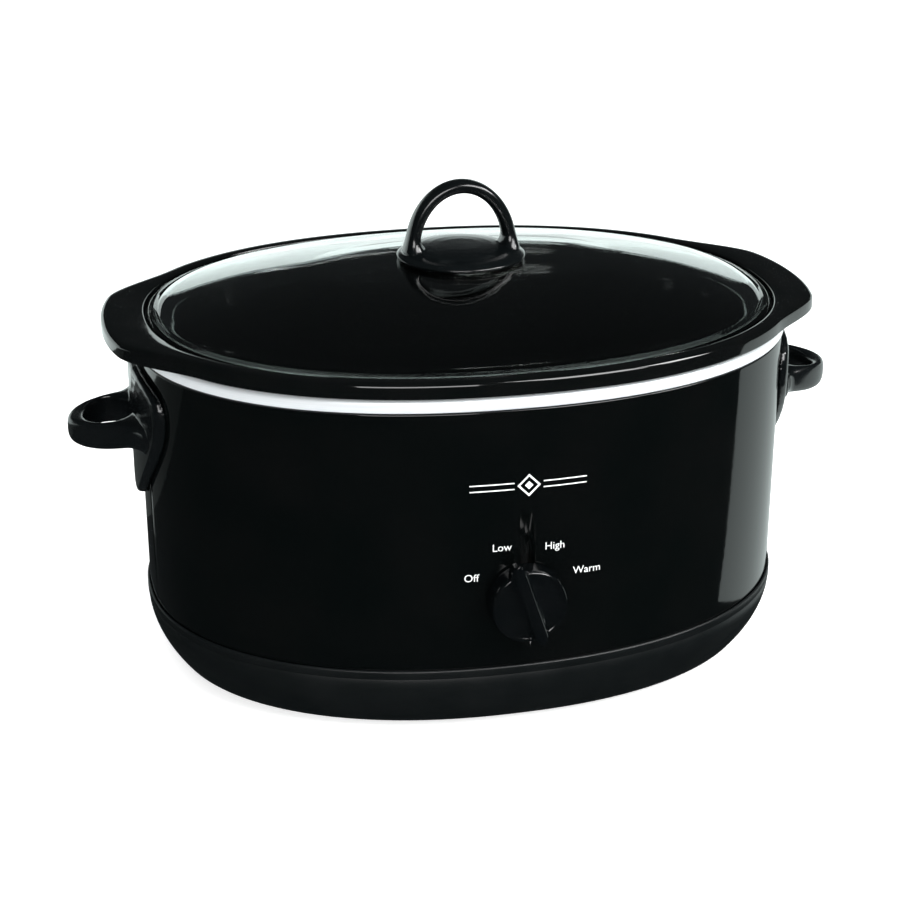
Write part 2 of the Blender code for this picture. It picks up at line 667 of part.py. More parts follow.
def band_clamp():
    """Channel that bridges the band's open ends, drawn tight by a screw."""
    height = CLAMP_HEIGHT
    low = HEATER_BOTTOM + (HEATER_HEIGHT - height) / 2
    inset = well_inset(low + height) - WELL_THICKNESS - 2 * FIT_GAP - HEATER_THICKNESS
    y = BODY_HALF_DEPTH - inset + FIT_GAP
    level = low + height / 2
    clamp = block("band_clamp", (0.034, 0.0012, height), (0, y + 0.0014, level), zinc_steel)
    for index, x in enumerate((-0.0145, 0.0145)):
        ear = block(f"clamp_ear_{index}", (0.0012, 0.0062, height), (x, y + 0.0040, level), helper=True)
        combine(clamp, ear, "UNION")
    bolt_y = y + 0.0046
    bore = cylinder("clamp_cutter", SCREW_RADIUS * 0.7 + FIT_GAP, (-0.03, bolt_y, level),
                    (0.03, bolt_y, level), sides=12, helper=True)
    combine(clamp, bore, "DIFFERENCE")
    bolt = turned("clamp_screw", [
        (0, 0.0018), (0.0022, 0.0018), (0.0022, 0), (SCREW_RADIUS * 0.7, 0),
        (SCREW_RADIUS * 0.7, -0.034), (0, -0.034),
    ], 12, zinc_steel)
    bolt.location = (0.0151 + FIT_GAP, bolt_y, level)
    bolt.rotation_euler = (0, math.pi / 2, 0)


def rotary_switch():
    """Four-position switch: nylon body, threaded bushing through the case, and blade terminals."""
    y = -BODY_HALF_DEPTH + SHELL_THICKNESS + FIT_GAP
    middle = y + SWITCH_DEPTH / 2
    switch = block("rotary_switch", (SWITCH_WIDTH, SWITCH_DEPTH, SWITCH_HEIGHT),
                   (0, middle + 0.0006, KNOB_LEVEL), switch_nylon, bevel=0.001)
    bushing_front = -BODY_HALF_DEPTH - NUT_THICKNESS - 0.0014
    bushing = cylinder("bushing", BUSHING_RADIUS, (0, middle, KNOB_LEVEL), (0, bushing_front, KNOB_LEVEL),
                       helper=True)
    combine(switch, bushing, "UNION")
    for index, x in enumerate(terminal_places()):
        blade = block(f"blade_{index}", (BLADE_WIDTH, BLADE_THICKNESS, TERMINAL_LENGTH + 0.002),
                      (x, middle + 0.002, KNOB_LEVEL - SWITCH_HEIGHT / 2 - TERMINAL_LENGTH / 2 + 0.001),
                      helper=True)
        combine(switch, blade, "UNION")
    bore = cylinder("shaft_cutter", SHAFT_RADIUS + SHAFT_CLEARANCE, (0, -0.2, KNOB_LEVEL),
                    (0, middle, KNOB_LEVEL), sides=28, helper=True)
    combine(switch, bore, "DIFFERENCE")
    nut = cylinder("switch_nut", NUT_RADIUS, (0, -BODY_HALF_DEPTH - FIT_GAP, KNOB_LEVEL),
                   (0, -BODY_HALF_DEPTH - FIT_GAP - NUT_THICKNESS, KNOB_LEVEL), zinc_steel, 6)
    hole = cylinder("nut_cutter", BUSHING_RADIUS + FIT_GAP, (0, -0.2, KNOB_LEVEL), (0, 0, KNOB_LEVEL),
                    helper=True)
    combine(nut, hole, "DIFFERENCE")


def terminal_places():
    return (-TERMINAL_PITCH, 0.0, TERMINAL_PITCH)


def thermal_fuse():
    """Fuse body under the well floor, with a spring clip that holds it there."""
    level = fuse_level
    x = FUSE_X
    cylinder("thermal_fuse", FUSE_RADIUS, (x, -0.007, level), (x, 0.007, level), zinc_steel, 14)
    clip = block("fuse_clip", (0.020, 0.006, 0.0008), (x, 0, level - 0.0030), zinc_steel)
    for index, side in enumerate((-1, 1)):
        leg = block(f"clip_leg_{index}", (0.0008, 0.006, 0.0058), (x + side * 0.0035, 0, level - 0.0005),
                    helper=True)
        combine(clip, leg, "UNION")


def wiring():
    """Sleeved leads: supply to fuse and switch, and switch to the heater's terminals."""
    blade_end = KNOB_LEVEL - SWITCH_HEIGHT / 2 - TERMINAL_LENGTH - FIT_GAP
    front = -BODY_HALF_DEPTH + SHELL_THICKNESS + FIT_GAP + SWITCH_DEPTH / 2 + 0.002
    left, middle, right = terminal_places()
    under = 0.024
    tab_low = HEATER_BOTTOM - 0.0105
    rear_inset = well_inset(HEATER_BOTTOM) - WELL_THICKNESS - 2 * FIT_GAP - HEATER_THICKNESS
    rear = BODY_HALF_DEPTH - 0.016
    common, low, high = heater_tab_places()
    tab_y = {x: oval_y(rear_inset, x) - 0.001 for x in (common, low, high)}
    routes = {
        "supply_lead": [(0.010, rear - 0.0105, 0.034), (0.010, rear - 0.016, 0.0338),
                        (0.016, 0.080, 0.028), (0.034, 0.050, 0.028), (0.044, 0.028, 0.036),
                        (FUSE_X, 0.0075, fuse_level)],
        "fuse_lead": [(FUSE_X, -0.0075, fuse_level), (0.046, -0.030, 0.036), (0.040, -0.060, under),
                      (0.026, -0.100, 0.030), (right, front, 0.044), (right, front, blade_end)],
        "low_lead": [(middle, front, blade_end), (middle, front, 0.044), (-0.004, -0.098, 0.028),
                     (-0.012, -0.030, under), (-0.020, 0.040, under), (-0.028, 0.100, 0.030),
                     (low, tab_y[low], 0.060), (low, tab_y[low], tab_low)],
        "high_lead": [(left, front, blade_end), (left, front, 0.044), (-0.020, -0.096, 0.028),
                      (-0.034, -0.030, under), (-0.040, 0.040, under), (-0.045, 0.090, 0.030),
                      (high, tab_y[high], 0.060), (high, tab_y[high], tab_low)],
        "neutral_lead": [(-0.010, rear - 0.0105, 0.034), (-0.010, rear - 0.016, 0.0338),
                         (-0.006, 0.088, 0.026), (0.014, 0.092, 0.020), (0.027, 0.108, 0.034),
                         (common, tab_y[common], 0.060), (common, tab_y[common], tab_low)],
    }
    for name, route in routes.items():
        tube(name, smooth_route(route, 4), LEAD_RADIUS, lead_glass_sleeve)
    for name, x in (("supply_crimp", 0.010), ("neutral_crimp", -0.010)):
        cylinder(name, CRIMP_RADIUS, (x, rear - 0.010, 0.034), (x, rear + 0.004, 0.034), switch_nylon, 14)


def cord_gland():
    """Strain-relief bushing for the supply cord, in the back of the case."""
    wall = BODY_HALF_DEPTH
    gland = turned("cord_gland", [
        (GLAND_BORE, GLAND_PROUD), (GLAND_NECK - 0.001, GLAND_PROUD), (GLAND_NECK, GLAND_PROUD - 0.001),
        (GLAND_FLANGE - 0.001, 0.0036), (GLAND_FLANGE, 0.0030), (GLAND_FLANGE, 0.0008),
        (GLAND_NECK, 0.0008), (GLAND_NECK, -0.0022), (GLAND_NECK + 0.0012, -0.0026),
        (GLAND_NECK, -0.0075), (GLAND_BORE, -0.0075), (GLAND_BORE, GLAND_PROUD),
    ], 24, handle_plastic)
    gland.location = (0, wall, GLAND_LEVEL)
    gland.rotation_euler = (-math.pi / 2, 0, 0)


# ---------------------------------------------------------------- crock and lid
def stoneware_crock():
    """Glazed crock: a tapered pot with a broad flange, two ears and a recess for the lid."""
    out_top = well_inset(lip_top - 0.008) + CROCK_CLEARANCE
    out_low = well_inset(crock_bottom + CROCK_CORNER) + CROCK_CLEARANCE
    in_top, in_low = out_top + CROCK_WALL, out_low + CROCK_WALL
    middle = CROCK_CORNER
    outer_corner = arc(out_low + middle, crock_bottom + middle, CROCK_CORNER, -90, 0, 2)
    inner_corner = arc(in_low + middle, cavity_floor + middle, CROCK_CORNER, 0, -90, 2)
    edge = -FLANGE_OVERHANG
    outside = outer_corner + [(out_top, flange_bottom - 0.006), (out_top - 0.0030, flange_bottom)]
    flange = [(edge + 0.0010, flange_bottom, 1), (edge, flange_bottom + 0.0012, 1),
              (edge + 0.0002, flange_top - 0.0036, 1), (edge + 0.0014, flange_top - 0.0009, 1),
              (edge + 0.0040, flange_top, 1), (LEDGE_INSET - 0.0008, flange_top, 0),
              (LEDGE_INSET, flange_top - 0.0010, 0), (LEDGE_INSET, ledge_level, 0)]
    inside = [(in_top - 0.0030, ledge_level, 0), (in_top, ledge_level - 0.0040, 0)]
    oval_loft("stoneware_crock", outside + flange + inside + inner_corner, black_glaze)


def lid_profile():
    """Insets and levels of the glass's upper face, from its edge to the middle."""
    edge = LEDGE_INSET + LID_CLEARANCE
    knee = edge + LID_RIM
    seat = glass_rim_top
    rim = [(edge, seat - 0.0006), (edge + 0.0006, seat), (knee, seat)]
    return rim + [(knee + run, seat + LID_RISE * share) for run, share in LID_DOME]


def lid_glass():
    """Domed oval of toughened glass with a flat rim and one hole for the handle screw."""
    upper = lid_profile()
    lower = [(inset + 0.0008, level - GLASS_THICKNESS) for inset, level in upper[2:]]
    start = [(upper[0][0], glass_seat + 0.0006), (upper[0][0] + 0.0006, glass_seat)]
    stations = lower[::-1] + start[::-1] + upper
    glass = oval_loft("lid_glass", stations, clear_glass)
    hole = cylinder("lid_hole_cutter", LID_HOLE_RADIUS, (0, 0, glass_crown - 0.02),
                    (0, 0, glass_crown + 0.02), helper=True)
    combine(glass, hole, "DIFFERENCE")


def arch_sections():
    """Cross sections of the lid's grip: half an oval standing on the disc's shoulder."""
    shoulder = disc_bottom + DISC_HEIGHT * 0.75
    sections = []
    for i in range(17):
        angle = math.pi * (i / 16)
        flare = 0.0022 * max(1 - math.sin(angle) / 0.25, 0) ** 2
        outer = Vector((-math.cos(angle) * (ARCH_HALF_WIDTH + flare), 0, ARCH_HEIGHT * math.sin(angle)))
        inner = Vector((-math.cos(angle) * (ARCH_HALF_WIDTH - ARCH_THICKNESS - flare), 0,
                        (ARCH_HEIGHT - ARCH_THICKNESS) * math.sin(angle)))
        centre = (outer + inner) / 2 + Vector((0, 0, shoulder))
        depth = ARCH_DEPTH / 2 + flare + 0.001 * (1 - math.sin(angle))
        sections.append([centre, (outer - inner) / 2, Vector((0, depth, 0))])
    below = Vector((0, 0, DISC_HEIGHT * 0.5))
    first, last = sections[0], sections[-1]
    return [[first[0] - below, *first[1:]], *sections, [last[0] - below, *last[1:]]]


def lid_handle():
    """Moulded disc with an arched grip, screwed through the glass."""
    top = disc_bottom + DISC_HEIGHT
    handle = turned("lid_handle", [
        (0, top), (0.012, top - 0.0002), (0.022, top - 0.0010), (0.030, top - 0.0026),
        (DISC_RADIUS - 0.0014, top - 0.0042), (DISC_RADIUS, top - 0.0056),
        (DISC_RADIUS - 0.0004, top - 0.0066), (DISC_RADIUS - 0.0022, disc_bottom), (0, disc_bottom),
    ], 48, handle_plastic)
    arch = rounded_bar("arch", arch_sections(), 2.5, helper=True)
    combine(handle, arch, "UNION")
    pilot = cylinder("lid_pilot", SCREW_RADIUS + FIT_GAP, (0, 0, disc_bottom - 0.005), (0, 0, top - 0.0015),
                     helper=True)
    combine(handle, pilot, "DIFFERENCE")


def lid_fixing():
    """Washer and screw under the glass."""
    under_glass = glass_crown - GLASS_THICKNESS - FIT_GAP
    ring("lid_washer", 0.0070, SCREW_RADIUS + SCREW_CLEARANCE, under_glass - 0.001, under_glass, rubber)
    screw_length = 0.001 + GLASS_THICKNESS + 0.0055
    pan_screw("lid_screw", (0, 0, under_glass - 0.001 - FIT_GAP), (0, 0, 1), screw_length)


# ---------------------------------------------------------------- control knob
knob_axis = bpy.data.objects.new("knob_axis", None)
knob_axis.location = (0, -BODY_HALF_DEPTH, KNOB_LEVEL)
knob_axis.rotation_euler = (math.pi / 2, 0, 0)
knob_axis.parent = body_centre
parts.objects.link(knob_axis)


def grip_outline():
    """Grip bar seen from the front, before it is turned to Low: rounded tail, pointed nose."""
    half = GRIP_WIDTH / 2
    tail = [(half * math.cos(a), -GRIP_TAIL + half - half * math.sin(a))
            for a in (math.radians(180 - 30 * i) for i in range(7))]
    start = POINTER_REACH - GRIP_WIDTH * 0.8
    nose = [(half * math.cos(a), start + GRIP_WIDTH * 0.8 * math.sin(a))
            for a in (math.radians(22.5 * i) for i in range(9))]
    return tail + nose


def control_knob():
    """Hollow moulded knob with a domed face and a grip bar that points to the setting."""
    inner = KNOB_RADIUS - KNOB_WALL
    knob = turned("control_knob", [
        (0, KNOB_DOME), (0.009, KNOB_DOME - 0.0005), (0.0155, KNOB_SKIRT + 0.0002),
        (0.0168, KNOB_SKIRT - 0.0005),
        (KNOB_RADIUS - 0.0022, KNOB_SKIRT), (KNOB_RADIUS - 0.0010, KNOB_SKIRT - 0.0008),
        (KNOB_RADIUS - 0.0006, KNOB_SKIRT - 0.0020), (KNOB_RADIUS, KNOB_STANDOFF + 0.0005),
        (KNOB_RADIUS - 0.0003, KNOB_STANDOFF), (inner, KNOB_STANDOFF),
        (inner - 0.0010, KNOB_SKIRT - KNOB_WALL - 0.001),
        (0.0075, KNOB_SKIRT - KNOB_WALL), (0, KNOB_SKIRT - KNOB_WALL),
    ], 40, knob_plastic, parent=knob_axis)
    bm = bmesh.new()
    root = KNOB_SKIRT - 0.0035
    face = bm.faces.new([bm.verts.new((x, y, root)) for x, y in grip_outline()])
    extruded = bmesh.ops.extrude_face_region(bm, geom=[face])
    moved = [v for v in extruded["geom"] if isinstance(v, bmesh.types.BMVert)]
    bmesh.ops.translate(bm, verts=moved, vec=(0, 0, KNOB_PROUD - root))
    for vertex in moved:
        vertex.co.x *= 0.72
        vertex.co.y *= 0.94
        vertex.co.z -= POINTER_FALL * (vertex.co.y + GRIP_TAIL)
    bmesh.ops.recalc_face_normals(bm, faces=bm.faces)
    grip = from_bmesh("grip_bar", bm, helper=True, parent=knob_axis)
    rounding = grip.modifiers.new("rounding", "BEVEL")
    rounding.width = 0.0010
    rounding.segments = 2
    rounding.limit_method = "ANGLE"
    rounding.angle_limit = math.radians(45)
    combine(knob, grip, "UNION")
    bore_end = KNOB_STANDOFF + KNOB_BORE_DEPTH + FIT_GAP
    bore = cylinder("knob_bore", SHAFT_RADIUS + FIT_GAP, (0, 0, -0.005), (0, 0, bore_end),
                    helper=True, parent=knob_axis)
    combine(knob, bore, "DIFFERENCE")
    knob.rotation_euler = (0, 0, LOW_ANGLE)
    grip.rotation_euler = (0, 0, LOW_ANGLE)


def switch_shaft():
    """Steel shaft from inside the switch into the knob."""
    depth = SHELL_THICKNESS + SWITCH_DEPTH / 2 - 0.001
    cylinder("switch_shaft", SHAFT_RADIUS, (0, 0, -depth), (0, 0, KNOB_STANDOFF + KNOB_BORE_DEPTH),
             zinc_steel, parent=knob_axis)


# ---------------------------------------------------------------- the cooker
outer_shell()
heating_well()
base_skirt()
feet()
bottom_cover()
cover_screws()
centre_fixing()
side_handle("right_handle", 1)
side_handle("left_handle", -1)
heater_band()
band_clamp()
rotary_switch()
thermal_fuse()
wiring()
cord_gland()
stoneware_crock()
lid_glass()
lid_handle()
lid_fixing()
control_knob()
switch_shaft()
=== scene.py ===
# %% [markdown]
# # An oval slow cooker
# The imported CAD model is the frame: every piece below goes where that model says, in metres, with +Z up
# and the control knob facing -Y. Pieces with a finer shape stand for the CAD solids they cover, and ride
# on the same moving body.

# %% Load the frame
import json
import math

import bmesh
import bpy
from mathutils import Matrix, Vector


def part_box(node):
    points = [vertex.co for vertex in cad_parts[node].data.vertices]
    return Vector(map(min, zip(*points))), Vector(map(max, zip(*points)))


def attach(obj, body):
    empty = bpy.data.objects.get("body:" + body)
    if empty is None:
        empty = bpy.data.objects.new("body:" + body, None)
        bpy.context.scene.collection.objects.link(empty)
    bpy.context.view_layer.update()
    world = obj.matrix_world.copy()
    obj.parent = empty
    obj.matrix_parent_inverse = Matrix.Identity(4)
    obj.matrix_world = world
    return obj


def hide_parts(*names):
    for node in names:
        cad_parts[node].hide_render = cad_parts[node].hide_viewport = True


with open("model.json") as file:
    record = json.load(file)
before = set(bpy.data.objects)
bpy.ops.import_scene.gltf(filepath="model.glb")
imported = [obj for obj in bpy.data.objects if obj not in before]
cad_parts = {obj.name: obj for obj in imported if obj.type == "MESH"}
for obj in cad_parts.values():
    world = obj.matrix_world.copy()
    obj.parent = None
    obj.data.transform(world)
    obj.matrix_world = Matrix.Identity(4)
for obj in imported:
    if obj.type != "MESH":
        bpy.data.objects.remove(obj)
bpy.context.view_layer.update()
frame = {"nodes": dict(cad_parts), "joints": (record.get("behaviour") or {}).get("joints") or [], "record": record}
nodes = frame["nodes"]

# %% [markdown]
# ## Sizes read from the model
# The case, base, rim and lid are all ovals of one kind, set in from the case's own outline by different
# amounts. So one outline function and a few levels are enough to place every piece.

# %% Sizes and the oval outline
shell_low, shell_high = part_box("outer_shell")
skirt_low, skirt_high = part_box("base_skirt")
well_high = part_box("heating_well")[1]
crock_low, crock_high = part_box("stoneware_crock")
glass_low, glass_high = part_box("lid_glass")
grip_low, grip_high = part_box("lid_handle")

half_width = (shell_high.x - shell_low.x) / 2
half_depth = (shell_high.y - shell_low.y) / 2
body_y = (shell_high.y + shell_low.y) / 2
OVAL_POWER = 2.2


def oval_point(inset, angle):
    """Point of the oval outline, set in from the case, in the direction of an angle."""
    across, along = math.cos(angle), math.sin(angle)
    x = math.copysign(abs(across) ** (2 / OVAL_POWER), across) * (half_width - inset)
    y = math.copysign(abs(along) ** (2 / OVAL_POWER), along) * (half_depth - inset)
    return Vector((x, y + body_y, 0))


def oval_depth(inset, x):
    """How far the outline reaches from the middle of the body at a width x."""
    share = min(abs(x) / (half_width - inset), 1)
    return (half_depth - inset) * (1 - share**OVAL_POWER) ** (1 / OVAL_POWER)


def oval_reach(inset, y):
    """Half width of the outline at a distance y from the middle of the body."""
    share = min(abs(y) / (half_depth - inset), 1)
    return (half_width - inset) * (1 - share**OVAL_POWER) ** (1 / OVAL_POWER)


print("case half width and depth, mm:", round(half_width * 1000, 1), round(half_depth * 1000, 1))

# %% [markdown]
# ## Camera
# A long lens, above and to the left of the front. The long lens keeps the oval's proportions calm, as in
# a catalogue picture.

# %% Camera
camera = bpy.data.objects.new("camera", bpy.data.cameras.new("camera"))
bpy.context.scene.collection.objects.link(camera)
camera.location = (-0.2352, -0.9658, 0.5053)
look_at = Vector((-0.0222, -0.0628, 0.1321))
camera.rotation_euler = (look_at - camera.location).to_track_quat("-Z", "Y").to_euler()
camera.data.lens = 76.3
camera.data.sensor_width = 36
bpy.context.scene.camera = camera
bpy.context.scene.view_settings.view_transform = "Standard"

# %% [markdown]
# ## Light and floor
# Gloss black shows almost nothing but reflections, so the studio is dark, with one wide soft light
# overhead, softer ones in front and at the upper right, and white sheets lying to the right and behind.
# The right sheet is what draws the pale strip down the case's right end. The pale floor lights the
# cooker from below by bounce, but isn't mirrored in it, as if black card lay in front.


# %% A helper that turns a hex colour into linear light
def linear(hex_colour):
    """sRGB hex to linear RGBA."""
    parts = [int(hex_colour[i:i + 2], 16) / 255 for i in (1, 3, 5)]
    return [c / 12.92 if c <= 0.04045 else ((c + 0.055) / 1.055) ** 2.4 for c in parts] + [1]


# %% Helpers that build node materials
def add(material, kind, settings=None, links=None, **attributes):
    """Adds one node: settings by socket, links as socket: (node, output)."""
    node = material.node_tree.nodes.new(kind)
    for name, value in attributes.items():
        setattr(node, name, value)
    for socket, value in (settings or {}).items():
        node.inputs[socket].default_value = value
    for socket, (source, output) in (links or {}).items():
        material.node_tree.links.new(source.outputs[output], node.inputs[socket])
    return node


def new_material(name, **settings):
    """A material and its Principled shader, with values that are the same all over set on the shader."""
    material = bpy.data.materials.new(name)
    material.use_nodes = True
    shader = material.node_tree.nodes["Principled BSDF"]
    for socket, value in settings.items():
        shader.inputs[socket.replace("_", " ")].default_value = value
    place = add(material, "ShaderNodeTexCoord")
    return material, shader, place


def link(material, source, output, target, socket):
    material.node_tree.links.new(source.outputs[output], target.inputs[socket])


def per_metre(millimetres):
    """Scale of a noise whose blotches are this far apart, for coordinates in metres."""
    return 1000 / millimetres


# %% Floor
def rectangle(left, right, near, far, level):
    """Corners of a level rectangle."""
    return [(left, near, level), (right, near, level), (right, far, level), (left, far, level)]


def flat_sheet(name, corners, material):
    mesh = bpy.data.meshes.new(name)
    mesh.from_pydata(corners, [], [range(len(corners))])
    sheet = bpy.data.objects.new(name, mesh)
    bpy.context.scene.collection.objects.link(sheet)
    mesh.materials.append(material)
    return sheet


paper, paper_shader, paper_place = new_material("matt_white_paper", Roughness=0.9, Emission_Strength=0.68)
paper_shader.inputs["Emission Color"].default_value = linear("#FFFFFF")
grain = add(paper, "ShaderNodeTexNoise", {"Scale": per_metre(60), "Detail": 3},
            {"Vector": (paper_place, "Object")})
tone = add(paper, "ShaderNodeValToRGB", links={"Fac": (grain, "Fac")})
tone.color_ramp.elements[0].color = linear("#F4F5F5")
tone.color_ramp.elements[1].color = linear("#FAFAFA")
link(paper, tone, "Color", paper_shader, "Base Color")
floor = flat_sheet("floor", rectangle(-7, 7, -4, 10, 0), paper)
floor.visible_glossy = False


# %% White sheets that only reflections see
def glow_sheet(name, corners, strength):
    glow, shader, _ = new_material(name, Emission_Strength=strength)
    shader.inputs["Base Color"].default_value = (0, 0, 0, 1)
    shader.inputs["Emission Color"].default_value = linear("#F2FFFD")
    glow.cycles.emission_sampling = "NONE"
    sheet = flat_sheet(name, corners, glow)
    sheet.visible_camera = False
    sheet.visible_diffuse = False
    sheet.visible_shadow = False
    return sheet


UNDER = -0.004   # level of the sheets, just below the floor
BACK_EDGE = 0.45
SIDE_EDGE = body_y - 0.120  # its place sets where the pale strip starts
glow_sheet("side_sheet", rectangle(0.225, 3, SIDE_EDGE, BACK_EDGE, UNDER), 0.9)
glow_sheet("left_sheet", rectangle(-3, -0.19, 0.20, BACK_EDGE, UNDER), 0.06)
glow_sheet("rear_sheet", rectangle(-5, 5, BACK_EDGE, 6, UNDER), 1.2)
glow_sheet("rear_wall", [(-9, 6, UNDER), (9, 6, UNDER), (9, 6, 1.35), (-9, 6, 1.35)], 1.2)


# %% Lamps
def soft_box(name, place, target, width, height, power, tint="#FFFFFF"):
    lamp = bpy.data.lights.new(name, "AREA")
    lamp.shape = "RECTANGLE"
    lamp.size, lamp.size_y = width, height
    lamp.energy = power
    lamp.color = linear(tint)[:3]
    holder = bpy.data.objects.new(name, lamp)
    bpy.context.scene.collection.objects.link(holder)
    holder.location = place
    holder.rotation_euler = (Vector(target) - Vector(place)).to_track_quat("-Z", "Y").to_euler()
    return holder


overhead = soft_box("overhead", (0.0, 0.1, 2.4), (0, 0, 0), 3.6, 3.4, 70)
overhead.visible_glossy = False
overhead.visible_transmission = False
soft_box("front_right", (1.1, -1.7, 1.7), (0, 0, 0.12), 1.1, 1.1, 36)
soft_box("upper_right", (1.9, -0.9, 1.8), (0, -0.13, 0.1), 0.8, 0.8, 30)
soft_box("front", (-0.5, -2.5, 1.2), (0, 0, 0.15), 1.5, 1.0, 30)
world = bpy.data.worlds.new("studio")
bpy.context.scene.world = world
world.use_nodes = True
world.node_tree.nodes["Background"].inputs["Color"].default_value = linear("#C8D4D8")
world.node_tree.nodes["Background"].inputs["Strength"].default_value = 0.035

# %% [markdown]
# ## Finishes
# Each finish starts from what the real one is. Base colours of black parts stay a little above zero, as
# real blacks do, and the gloss comes from roughness and a thin ripple in the surface.

# %% [markdown]
# ### Baked enamel on steel
# The case is sheet steel with a sprayed, baked enamel. Baked enamel flows out smooth but keeps a faint
# orange-peel ripple about 3 mm across, which makes the edges of reflections very slightly wavy.


# %% Baked enamel
def black_ripple(name, colours, roughness, blotch_mm, ripple_mm, ripple_depth, **settings):
    """A black finish: slow changes of tone and gloss, and a fine ripple."""
    material, shader, place = new_material(name, **settings)
    slow = add(material, "ShaderNodeTexNoise", {"Scale": per_metre(blotch_mm), "Detail": 4,
                                                "Roughness": 0.55},
               {"Vector": (place, "Object")})
    tone = add(material, "ShaderNodeValToRGB", links={"Fac": (slow, "Fac")})
    tone.color_ramp.elements[0].position, tone.color_ramp.elements[1].position = 0.35, 0.7
    tone.color_ramp.elements[0].color = linear(colours[0])
    tone.color_ramp.elements[1].color = linear(colours[1])
    link(material, tone, "Color", shader, "Base Color")
    gloss = add(material, "ShaderNodeMapRange", {"From Min": 0.3, "From Max": 0.7, "To Min": roughness[0],
                                                 "To Max": roughness[1]},
                {"Value": (slow, "Fac")})
    link(material, gloss, "Result", shader, "Roughness")
    fine = add(material, "ShaderNodeTexNoise", {"Scale": per_metre(ripple_mm), "Detail": 1.5,
                                                "Roughness": 0.4},
               {"Vector": (place, "Object")})
    bump = add(material, "ShaderNodeBump", {"Strength": 1.0, "Distance": ripple_depth},
               {"Height": (fine, "Fac")})
    link(material, bump, "Normal", shader, "Normal")
    return material, shader, place, bump


enamel = black_ripple("baked_black_enamel", ("#030505", "#060707"), (0.05, 0.085), 45, 3.2, 0.000012,
                      IOR=1.52)[0]

# %% [markdown]
# ### Moulded phenolic
# The base and the grips are compression-moulded phenolic, which stays hard next to the heat. The base's
# mould was spark-eroded, so it has a fine even grain and a satin look. The real grain, about 0.2 mm, is
# too fine to show here, so it is drawn at 0.9 mm. The grips and the knob came from polished moulds.

# %% Phenolic finishes
satin_phenolic = black_ripple(
    "satin_phenolic", ("#060A0B", "#0A0E0F"), (0.36, 0.46), 30, 0.9, 0.00005, IOR=1.56)[0]
grip_phenolic = black_ripple("polished_phenolic", ("#070A0B", "#0B0E0F"), (0.15, 0.20), 22, 2.0, 0.000006,
                             IOR=1.58)[0]
knob_phenolic = black_ripple("knob_phenolic", ("#040607", "#07090A"), (0.10, 0.16), 14, 1.6, 0.000010,
                             IOR=1.58)[0]

# %% [markdown]
# ### Stoneware glaze
# The crock is fired stoneware under a thick black glaze. A glaze pools and flows, so it has a slow
# ripple about 9 mm across and a few pinholes. Where it runs thin it breaks to a brown, which is not drawn here.

# %% Stoneware glaze
glaze, glaze_shader, glaze_place, glaze_bump = black_ripple(
    "black_stoneware_glaze", ("#050707", "#090A0A"), (0.05, 0.09), 26, 9, 0.00005, IOR=1.55)
pinholes = add(glaze, "ShaderNodeTexVoronoi", {"Scale": per_metre(7), "Randomness": 1.0},
               {"Vector": (glaze_place, "Object")})
pit = add(glaze, "ShaderNodeMapRange", {"From Min": 0.0, "From Max": 0.055, "To Min": 0.0, "To Max": 1.0},
          {"Value": (pinholes, "Distance")})
pit_bump = add(glaze, "ShaderNodeBump", {"Strength": 0.5, "Distance": 0.00008},
               {"Height": (pit, "Result"), "Normal": (glaze_bump, "Normal")})
link(glaze, pit_bump, "Normal", glaze_shader, "Normal")

bisque, bisque_shader, bisque_place = new_material("unglazed_stoneware", Roughness=0.85, IOR=1.5)
sand = add(bisque, "ShaderNodeTexNoise", {"Scale": per_metre(1.2), "Detail": 6},
           {"Vector": (bisque_place, "Object")})
sand_tone = add(bisque, "ShaderNodeValToRGB", links={"Fac": (sand, "Fac")})
sand_tone.color_ramp.elements[0].color = linear("#A8997F")
sand_tone.color_ramp.elements[1].color = linear("#CDBFA5")
link(bisque, sand_tone, "Color", bisque_shader, "Base Color")
sand_bump = add(bisque, "ShaderNodeBump", {"Strength": 0.6, "Distance": 0.0002}, {"Height": (sand, "Fac")})
link(bisque, sand_bump, "Normal", bisque_shader, "Normal")

# %% [markdown]
# ### Bright liner
# The heating well is pressed from aluminium-coated steel sheet. Its rolled lip is satin bright, so it
# shows as a nearly white band: part mirror, part milky scatter, with fine drawing lines round it.

# %% Bright liner
liner, liner_shader, liner_place = new_material("aluminised_steel", Metallic=0.3, IOR=1.5)
lines = add(liner, "ShaderNodeMapping", {"Scale": (1, 1, 60)}, {"Vector": (liner_place, "Object")})
drawn = add(liner, "ShaderNodeTexNoise", {"Scale": per_metre(30), "Detail": 5, "Roughness": 0.7},
            {"Vector": (lines, "Vector")})
liner_tone = add(liner, "ShaderNodeValToRGB", links={"Fac": (drawn, "Fac")})
liner_tone.color_ramp.elements[0].color = linear("#DDE3E6")
liner_tone.color_ramp.elements[1].color = linear("#F4F8FA")
link(liner, liner_tone, "Color", liner_shader, "Base Color")
liner_gloss = add(liner, "ShaderNodeMapRange", {"To Min": 0.30, "To Max": 0.44}, {"Value": (drawn, "Fac")})
link(liner, liner_gloss, "Result", liner_shader, "Roughness")
liner_bump = add(liner, "ShaderNodeBump", {"Strength": 0.25, "Distance": 0.00003},
                 {"Height": (drawn, "Fac")})
link(liner, liner_bump, "Normal", liner_shader, "Normal")


# %% [markdown]
# ### Metals, rubber and the parts inside
# Zinc plate is a soft grey metal with cloudy spangle. Rubber is matt with a faint bloom. Inside are mica
# board, nylon and woven glass sleeves, all pale, which are seen only when the cooker is opened.


